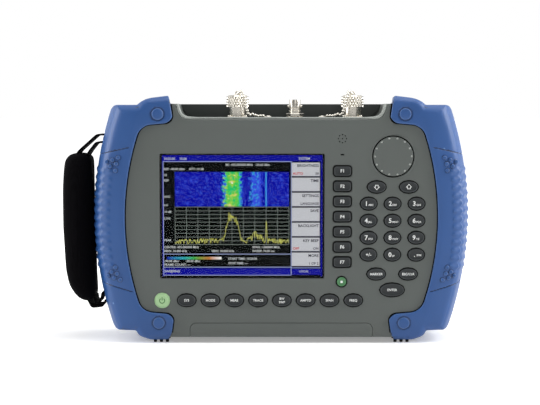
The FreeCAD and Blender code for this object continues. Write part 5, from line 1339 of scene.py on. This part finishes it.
BAYONET_MOUTH = ((4.8, -0.5), (4.6, 0.0), (4.15, 0.0), (4.05, -0.2), (4.05, -7.8))
BAYONET_INSULATOR = ((4.0, -7.7), (4.0, -5.0), (2.6, -5.0), (2.6, -1.2), (1.3, -1.2), (1.3, -4))
BAYONET_CONTACT = ((1.1, -7.7), (1.1, -2.0), (0.8, -1.8), (0.5, -1.9), (0.5, -4))


def add_core(name, centre, top, insulator, insulator_steps, contact, contact_steps):
    """The insulator and the contact inside a connector, from steps of radius and height about its top."""
    for part, material, profile, steps in (("_insulator", "white", insulator, insulator_steps),
                                           ("_contact", "gold", contact, contact_steps)):
        Shape().lathe(lifted(profile, top), centre, steps).piece(name + part, material, "case", "nickel")


def make_rf_connector(name):
    """A threaded barrel on a square flange with a screw at each corner, insulator and contact inside."""
    low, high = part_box(name)
    centre = node_centre(name)
    half = (high.x - low.x) / 2 / MM
    bottom, top = low.z / MM, high.z / MM
    shape = Shape()
    plate = rounded_box(2 * half, 2 * half, 1.6)
    rings = []
    for height, inset in RF_FLANGE:
        factor = 1 - inset / half
        rings.append([(centre.x + x * factor, centre.y + y * factor, DECK_Z + height) for x, y in plate])
    shape.loft(rings)
    start, end = DECK_Z + THREAD_START, top - 0.6
    profile = [(7.4, DECK_Z + 1.0), (7.4, start - 0.2), (7.6, start)]
    shape.lathe(profile, centre, 72, start=False, end=False)
    rows = round((end - start) / THREAD_STEP)
    profile = [(THREAD_RADIUS, height) for height in np.linspace(start, end, rows + 1)]
    shape.lathe(profile, centre, 96, relief=thread, start=False, end=False)
    shape.lathe(lifted(RF_MOUTH, top), centre, 72, start=False, end=True)
    shape.lathe([(5.0, bottom), (5.0, DECK_Z)], centre, 48)
    for side_x in (-1, 1):
        for side_y in (-1, 1):
            place = (centre.x + side_x * (half - 2.0), centre.y + side_y * (half - 2.0))
            shape.lathe(lifted(RF_SCREW, DECK_Z), place, 20)
    piece = shape.piece(name + "_metal", "nickel", "case", "nickel")
    sharp_edges(piece, 38)
    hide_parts(name)
    add_core(name, centre, top, RF_INSULATOR, 48, RF_CONTACT, 32)


BAYONET_Z = 196.3


def make_reference_connector():
    """A bayonet connector: nut, washer, ribbed collar, barrel with two lugs, insulator and contact."""
    name = "reference_connector"
    low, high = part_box(name)
    centre = node_centre(name)
    bottom, top = low.z / MM, high.z / MM
    shape = Shape()
    shape.lathe(lifted(BAYONET_WASHER, DECK_Z), centre, 72)
    nut = [(BAYONET_NUT * factor, DECK_Z + height) for height, factor in NUT_STEPS]
    shape.lathe(nut, centre, 6)
    profile = lifted(BAYONET_BARREL, DECK_Z) + lifted(BAYONET_MOUTH, top)
    shape.lathe(profile, centre, 72, start=False, end=True)
    shape.lathe([(4.6, bottom), (4.6, DECK_Z)], centre, 48)
    for side in (-1, 1):
        rings = []
        for reach, radius in ((4.3, 1.0), (5.8, 1.0), (6.0, 0.8)):
            rings.append([(centre.x + side * reach, centre.y + radius * math.cos(turn),
                           BAYONET_Z + radius * math.sin(turn))
                          for turn in turns(20)])
        shape.loft(rings)
    piece = shape.piece(name + "_metal", "nickel", "case", "nickel")
    sharp_edges(piece, 38)
    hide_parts(name)
    add_core(name, centre, top, BAYONET_INSULATOR, 48, BAYONET_CONTACT, 24)


CHAIN_POINTS = ((0.6, -7.6, 206.9), (1.6, -10.6, 207.4), (3.2, -13.9, 207.4), (5.1, -16.9, 205.0),
                (6.3, -17.75, 201.7), (7.3, -18.65, 197.5), (7.8, -18.45, 193.0), (8.4, -17.65, 191.2),
                (10.0, -16.45, 188.8), (13.0, -14.6, 188.1), (17.0, -12.2, 188.1), (22.0, -10.2, 188.1))
EYELET = ((3.2, 0.0), (3.2, 0.9), (2.9, 1.2), (2.2, 1.2), (2.0, 0.8), (1.6, 0.8), (1.5, 1.4), (1.0, 1.7))
EYELET_REACH, EYELET_Y = 25.5, -10.2
BEAD_RADIUS, BEAD_PITCH, WIRE_RADIUS = 1.3, 2.55, 0.35
CHAIN_WAVE, CHAIN_WAVES = 0.7, 5


def along_path(points, pitch):
    """Points at even steps along a polyline, and its direction there."""
    made = []
    left = pitch / 2
    for a, b in zip(points, points[1:]):
        way = b - a
        done = left
        while done < way.length:
            made.append((a + way * (done / way.length), way.normalized()))
            done += pitch
        left = done - way.length
    return made


def smooth_path(points, steps=8):
    """A Catmull-Rom curve through points."""
    points = [Vector(point) for point in points]
    padded_points = [2 * points[0] - points[1], *points, 2 * points[-1] - points[-2]]
    made = []
    for a, b, c, d in zip(padded_points, padded_points[1:], padded_points[2:], padded_points[3:]):
        for step in range(steps):
            t = step / steps
            made.append(0.5 * ((2 * b) + (c - a) * t + (2 * a - 5 * b + 4 * c - d) * t * t
                               + (3 * b - 3 * c + d - a) * t ** 3))
    made.append(points[-1])
    return made


def make_chain(name, connector, side):
    """Beads on a wire from the cap's ring down to the eyelet on the panel."""
    centre = node_centre(connector)
    path = smooth_path([(centre.x + side * ahead, y, z) for ahead, y, z in CHAIN_POINTS])
    for index, point in enumerate(path):
        swing = CHAIN_WAVE * ramp(index, 2, 12) * ramp(index, len(path) - 2, len(path) - 12)
        turn = 2 * math.pi * CHAIN_WAVES * index / len(path)
        point.y -= swing * (0.5 + 0.5 * math.sin(turn))
        point.z += swing * (1 + math.cos(turn))
    shape = Shape()
    shape.tube(path[::2], WIRE_RADIUS, 8)
    for middle, along in along_path(path, BEAD_PITCH):
        turn = along.to_track_quat("Z", "Y")
        rings = []
        for row in range(1, 8):
            lean = math.pi * row / 8
            rings.append([middle + turn @ Vector((BEAD_RADIUS * math.sin(lean) * math.cos(spin),
                                                  BEAD_RADIUS * math.sin(lean) * math.sin(spin),
                                                  BEAD_RADIUS * math.cos(lean)))
                          for spin in turns(14)])
        shape.loft(rings)
    chain = shape.piece(name, "chain", None, "chain_metal")
    eyelet = Shape()
    eyelet.lathe(lifted(EYELET, DECK_Z), (centre.x + side * EYELET_REACH, EYELET_Y), 40)
    eyelet_piece = eyelet.piece(name + "_eyelet", "chain", "case", "chain_metal")
    sharp_edges(eyelet_piece, 40)
    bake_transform(chain)
    return chain


def make_connectors():
    """Both capped connectors with their chains, and the bayonet connector between them."""
    for name, body in (("rf_output_cap", "output_cap"), ("rf_input_cap", "input_cap")):
        make_cap(name, body)
    for name in ("rf_output_connector", "rf_input_connector"):
        make_rf_connector(name)
    make_reference_connector()
    first = make_chain("output_chain", "rf_output_connector", 1)
    make_chain("input_chain", "rf_input_connector", -1)
    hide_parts("cap_chains")


# Hand strap

PAD_OUTER, PAD_THICKNESS, PAD_DEPTH = -183.7, 24.6, 42.0
PAD_SECTIONS = ((31, 1.08, 0.40, 0.62), (33, 1.12, 0.56, 0.76), (37, 1.13, 0.74, 0.88),
                (43, 1.11, 0.90, 0.95), (50, 1.08, 0.97, 0.97), (61, 1.05, 1.0, 0.99),
                (94.5, 1.0, 1.02, 1.0), (128, 1.0, 1.02, 1.0), (147, 1.03, 1.0, 0.95),
                (153, 1.03, 0.94, 0.9), (156, 0.98, 0.8, 0.82), (158, 0.88, 0.55, 0.7))
PAD_INSET = 0.9
PAD_STEPS = 40
PAD_VOXEL = 3.5


def pad_ring(z, inner, thickness, depth):
    """One section of the pad, a rounded box that is a little smaller than the blown up pad."""
    corner = min(0.46 * thickness, 10) - PAD_INSET
    outline = rounded_box(thickness - 2 * PAD_INSET, depth - 2 * PAD_INSET, corner, 8)
    middle = inner - thickness / 2
    return [(middle + x, y, z) for x, y in outline]


def make_pad():
    """The padded grip, blown up as cloth from a slightly smaller form."""
    heights = [row[0] for row in PAD_SECTIONS]
    rings = []
    for step in range(PAD_STEPS + 1):
        z = heights[0] + PAD_INSET + (heights[-1] - heights[0] - 2 * PAD_INSET) * step / PAD_STEPS
        inner, thick, deep = (np.interp(z, heights, column) for column in list(zip(*PAD_SECTIONS))[1:])
        rings.append(pad_ring(z, PAD_OUTER + inner * PAD_THICKNESS, thick * PAD_THICKNESS, deep * PAD_DEPTH))
    pad = Shape().loft(rings).piece("strap_grip", "pad", None, "strap_fabric")
    remesh = pad.modifiers.new("skin", "REMESH")
    remesh.mode = "VOXEL"
    remesh.voxel_size = PAD_VOXEL * MM
    apply_modifiers(pad)
    simulate(pad)
    smooth = pad.modifiers.new("soften", "SMOOTH")
    smooth.iterations = 2
    finer = pad.modifiers.new("finer", "SUBSURF")
    finer.levels = finer.render_levels = 1
    apply_modifiers(pad)
    pad.data.materials.clear()
    pad.data.materials.append(MATERIALS["pad"])
    smooth_faces(pad)
    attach(pad, "case")
    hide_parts("strap_pad")


PUFF_FRAMES, PUFF_LIMIT = 20, 6.0


def simulate(piece):
    """Cloth with air pressure inside. No point moves further than the limit, in millimetres."""
    rest = np.array([vertex.co for vertex in piece.data.vertices])
    cloth = piece.modifiers.new("cloth", "CLOTH")
    cloth.settings.use_pressure = True
    cloth.settings.uniform_pressure_force = 4
    cloth.settings.effector_weights.gravity = 0
    cloth.settings.quality = 6
    cloth.point_cache.frame_start = 1
    cloth.point_cache.frame_end = PUFF_FRAMES
    for number in range(1, PUFF_FRAMES + 1):
        bpy.context.scene.frame_set(number)
    apply_modifiers(piece)
    bpy.context.scene.frame_set(1)
    places = np.array([vertex.co for vertex in piece.data.vertices])
    moved = places - rest
    length = np.linalg.norm(moved, axis=1, keepdims=True)
    places = rest + moved * np.minimum(1, PUFF_LIMIT * MM / np.maximum(length, TINY))
    piece.data.vertices.foreach_set("co", places.astype(np.float32).ravel())
    piece.data.update()


UPPER_WEBBING = ((-164.0, 153.5), (-160.5, 159.1), (-154.86, 166.1), (-144.86, 166.1), (-144.86, 172.5),
                 (-154.16, 172.5), (-169.2, 159.1), (-172.5, 154.5))
LOWER_WEBBING = ((-158.0, 36.0), (-157.0, 30.6), (-153.6, 30.3), (-151.6, 35.5), (-151.25, 39.6),
                 (-144.55, 39.6), (-144.55, 33.2), (-148.45, 33.2), (-150.6, 27.8), (-160.0, 26.9),
                 (-163.0, 33.0))
WEBBING_SECTION = ((-11, 0.35), (-10.6, 0.75), (10.6, 0.75), (11, 0.35),
                   (11, -0.35), (10.6, -0.75), (-10.6, -0.75), (-11, -0.35))
WEBBING_ROUND = 2.2


def rounded_route(points, radius, steps=5):
    """A route whose corners are rounded."""
    points = [Vector(point) for point in points]
    made = [points[0]]
    for a, b, c in zip(points, points[1:], points[2:]):
        before, after = (a - b).normalized(), (c - b).normalized()
        reach = min(radius, (a - b).length * 0.45, (c - b).length * 0.45)
        for step in range(steps + 1):
            t = step / steps
            start, end = b + before * reach, b + after * reach
            made.append(start * (1 - t) ** 2 + b * 2 * t * (1 - t) + end * t ** 2)
    made.append(points[-1])
    return made


def make_webbing():
    """Flat webbing through each end's slots, back on itself at the pad."""
    shape = Shape()
    for points in (UPPER_WEBBING, LOWER_WEBBING):
        route = rounded_route(points, WEBBING_ROUND)
        rings = []
        for index, point in enumerate(route):
            along = route[min(index + 1, len(route) - 1)] - route[max(index - 1, 0)]
            normal = Vector((-along.y, along.x)).normalized()
            ring = []
            for across, thick in WEBBING_SECTION:
                place = point + normal * thick
                ring.append((place.x, across, place.y))
            rings.append(ring)
        shape.loft(rings)
    piece = shape.piece("strap_webbing_cloth", "webbing", "case", "webbing_fabric")
    sharp_edges(piece, 50)
    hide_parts("strap_webbing")


# Light, floor and camera

ROOM_LIGHT = 0.19
ROOM_GLOSS = 0.30
CAMERA_SPOT = (0.0034, -1.0, 0.19)
CAMERA_PITCH = 4.3
CAMERA_LENS = 78.75


def make_world():
    """A dim white room. The backdrop behind the object is white where it is seen, and in reflections."""
    world = bpy.data.worlds.new("studio")
    bpy.context.scene.world = world
    world.use_nodes = True
    tree = world.node_tree

    def node(kind, **inputs):
        made = tree.nodes.new(kind)
        for place, value in inputs.items():
            if isinstance(value, bpy.types.NodeSocket):
                tree.links.new(value, made.inputs[int(place[1:])])
            else:
                made.inputs[int(place[1:])].default_value = value
        return made

    shade = tree.nodes["Background"]
    shade.inputs["Color"].default_value = (1.0, 1.0, 1.0, 1.0)
    shade.inputs["Strength"].default_value = ROOM_LIGHT
    path = node("ShaderNodeLightPath")
    split = node("ShaderNodeSeparateXYZ", i0=node("ShaderNodeTexCoord").outputs["Generated"])
    backdrop = node("ShaderNodeMapRange", i0=split.outputs["Y"], i1=-0.3, i2=0.5, i3=ROOM_GLOSS, i4=1.0)
    mirrored = node("ShaderNodeBackground", i0=(1.0, 1.0, 1.0, 1.0), i1=backdrop.outputs[0])
    seen = node("ShaderNodeBackground", i0=(1.0, 1.0, 1.0, 1.0), i1=1.0)
    through = node("ShaderNodeMath", i0=path.outputs["Is Camera Ray"], i1=path.outputs["Is Transmission Ray"])
    through.operation = "MAXIMUM"
    glossy = node("ShaderNodeMixShader", i0=path.outputs["Is Glossy Ray"], i1=shade.outputs[0],
                  i2=mirrored.outputs[0])
    whole = node("ShaderNodeMixShader", i0=through.outputs[0], i1=glossy.outputs[0], i2=seen.outputs[0])
    tree.links.new(whole.outputs[0], tree.nodes["World Output"].inputs["Surface"])


def add_light(name, place, width, height, power):
    """A soft box that looks at the object."""
    lamp = bpy.data.lights.new(name, "AREA")
    lamp.shape = "RECTANGLE"
    lamp.size, lamp.size_y = width, height
    lamp.energy = power
    carrier = bpy.data.objects.new(name, lamp)
    carrier.location = place
    carrier.rotation_euler = (Vector(LIT_SPOT) - Vector(place)).to_track_quat("-Z", "Y").to_euler()
    bpy.context.scene.collection.objects.link(carrier)


FLOOR_WHITE = 0.9
FLOOR_NEAR, FLOOR_FAR = 0.22, 0.60
FLOOR_GLOW = 0.30
FLOOR_REACH = 40.0


def make_floor():
    """White paper that keeps the object's shadow and runs out into the white of the backdrop."""
    white = (FLOOR_WHITE, FLOOR_WHITE, FLOOR_WHITE, 1.0)
    surface = Surface("floor_paper", white, 0.9, specular=0.0)
    grain = surface.noise(60, 2)
    surface.paint(surface.mix(grain, scaled(white, 0.98), white))
    path = surface.add("ShaderNodeLightPath")
    seen = surface.math("MAXIMUM", path.outputs["Is Camera Ray"], path.outputs["Is Transmission Ray"])
    seen = surface.math("MAXIMUM", seen, path.outputs["Is Glossy Ray"])
    away = surface.add("ShaderNodeVectorMath", operation="LENGTH")
    surface.feed(away, i0=surface.place)
    glow = surface.range(away.outputs["Value"], FLOOR_NEAR, FLOOR_FAR, FLOOR_GLOW, 1.0)
    surface.drive("Emission Strength", surface.math("MULTIPLY", seen, glow))
    surface.set("Emission Color", (1.0, 1.0, 1.0, 1.0))
    MATERIALS["floor"] = surface.material
    corners = [(x * FLOOR_REACH, y * FLOOR_REACH, 0) for x, y in ((-1, -1), (1, -1), (1, 1), (-1, 1))]
    new_piece("floor", corners, [(0, 1, 2, 3)], "floor", None, smooth=False)


def make_camera():
    """The photograph's view: straight from the front, from a little above."""
    lens = bpy.data.cameras.new("camera")
    lens.lens = CAMERA_LENS
    lens.sensor_width = 36.0
    camera = bpy.data.objects.new("camera", lens)
    camera.location = CAMERA_SPOT
    camera.rotation_euler = (math.radians(90 - CAMERA_PITCH), 0, 0)
    bpy.context.scene.collection.objects.link(camera)
    bpy.context.scene.camera = camera


LIT_SPOT = (0.01, 0.0, 0.1)
SOFTBOXES = (("top_softbox", (0.1, -0.1, 1.3), 1.2, 0.9, 8.5),
             ("left_softbox", (-1.1, -0.10, 0.5), 0.8, 0.9, 11.5),
             ("right_softbox", (1.1, -0.10, 0.7), 0.8, 0.9, 16.5),
             ("front_softbox", (0.3, -1.6, 0.9), 1.0, 0.8, 2.3))


def make_studio():
    """Room, soft boxes, floor and camera."""
    make_world()
    for softbox in SOFTBOXES:
        add_light(*softbox)
    make_floor()
    make_camera()
    bpy.context.scene.view_settings.view_transform = "Standard"


make_materials()
make_glass()
dress_nodes()
make_studio()
make_case_skins()
make_bumpers()
make_keys()
make_knob()
make_speaker_cloth()
make_bay_lip_highlight()
make_display()
make_connectors()
make_pad()
make_webbing()
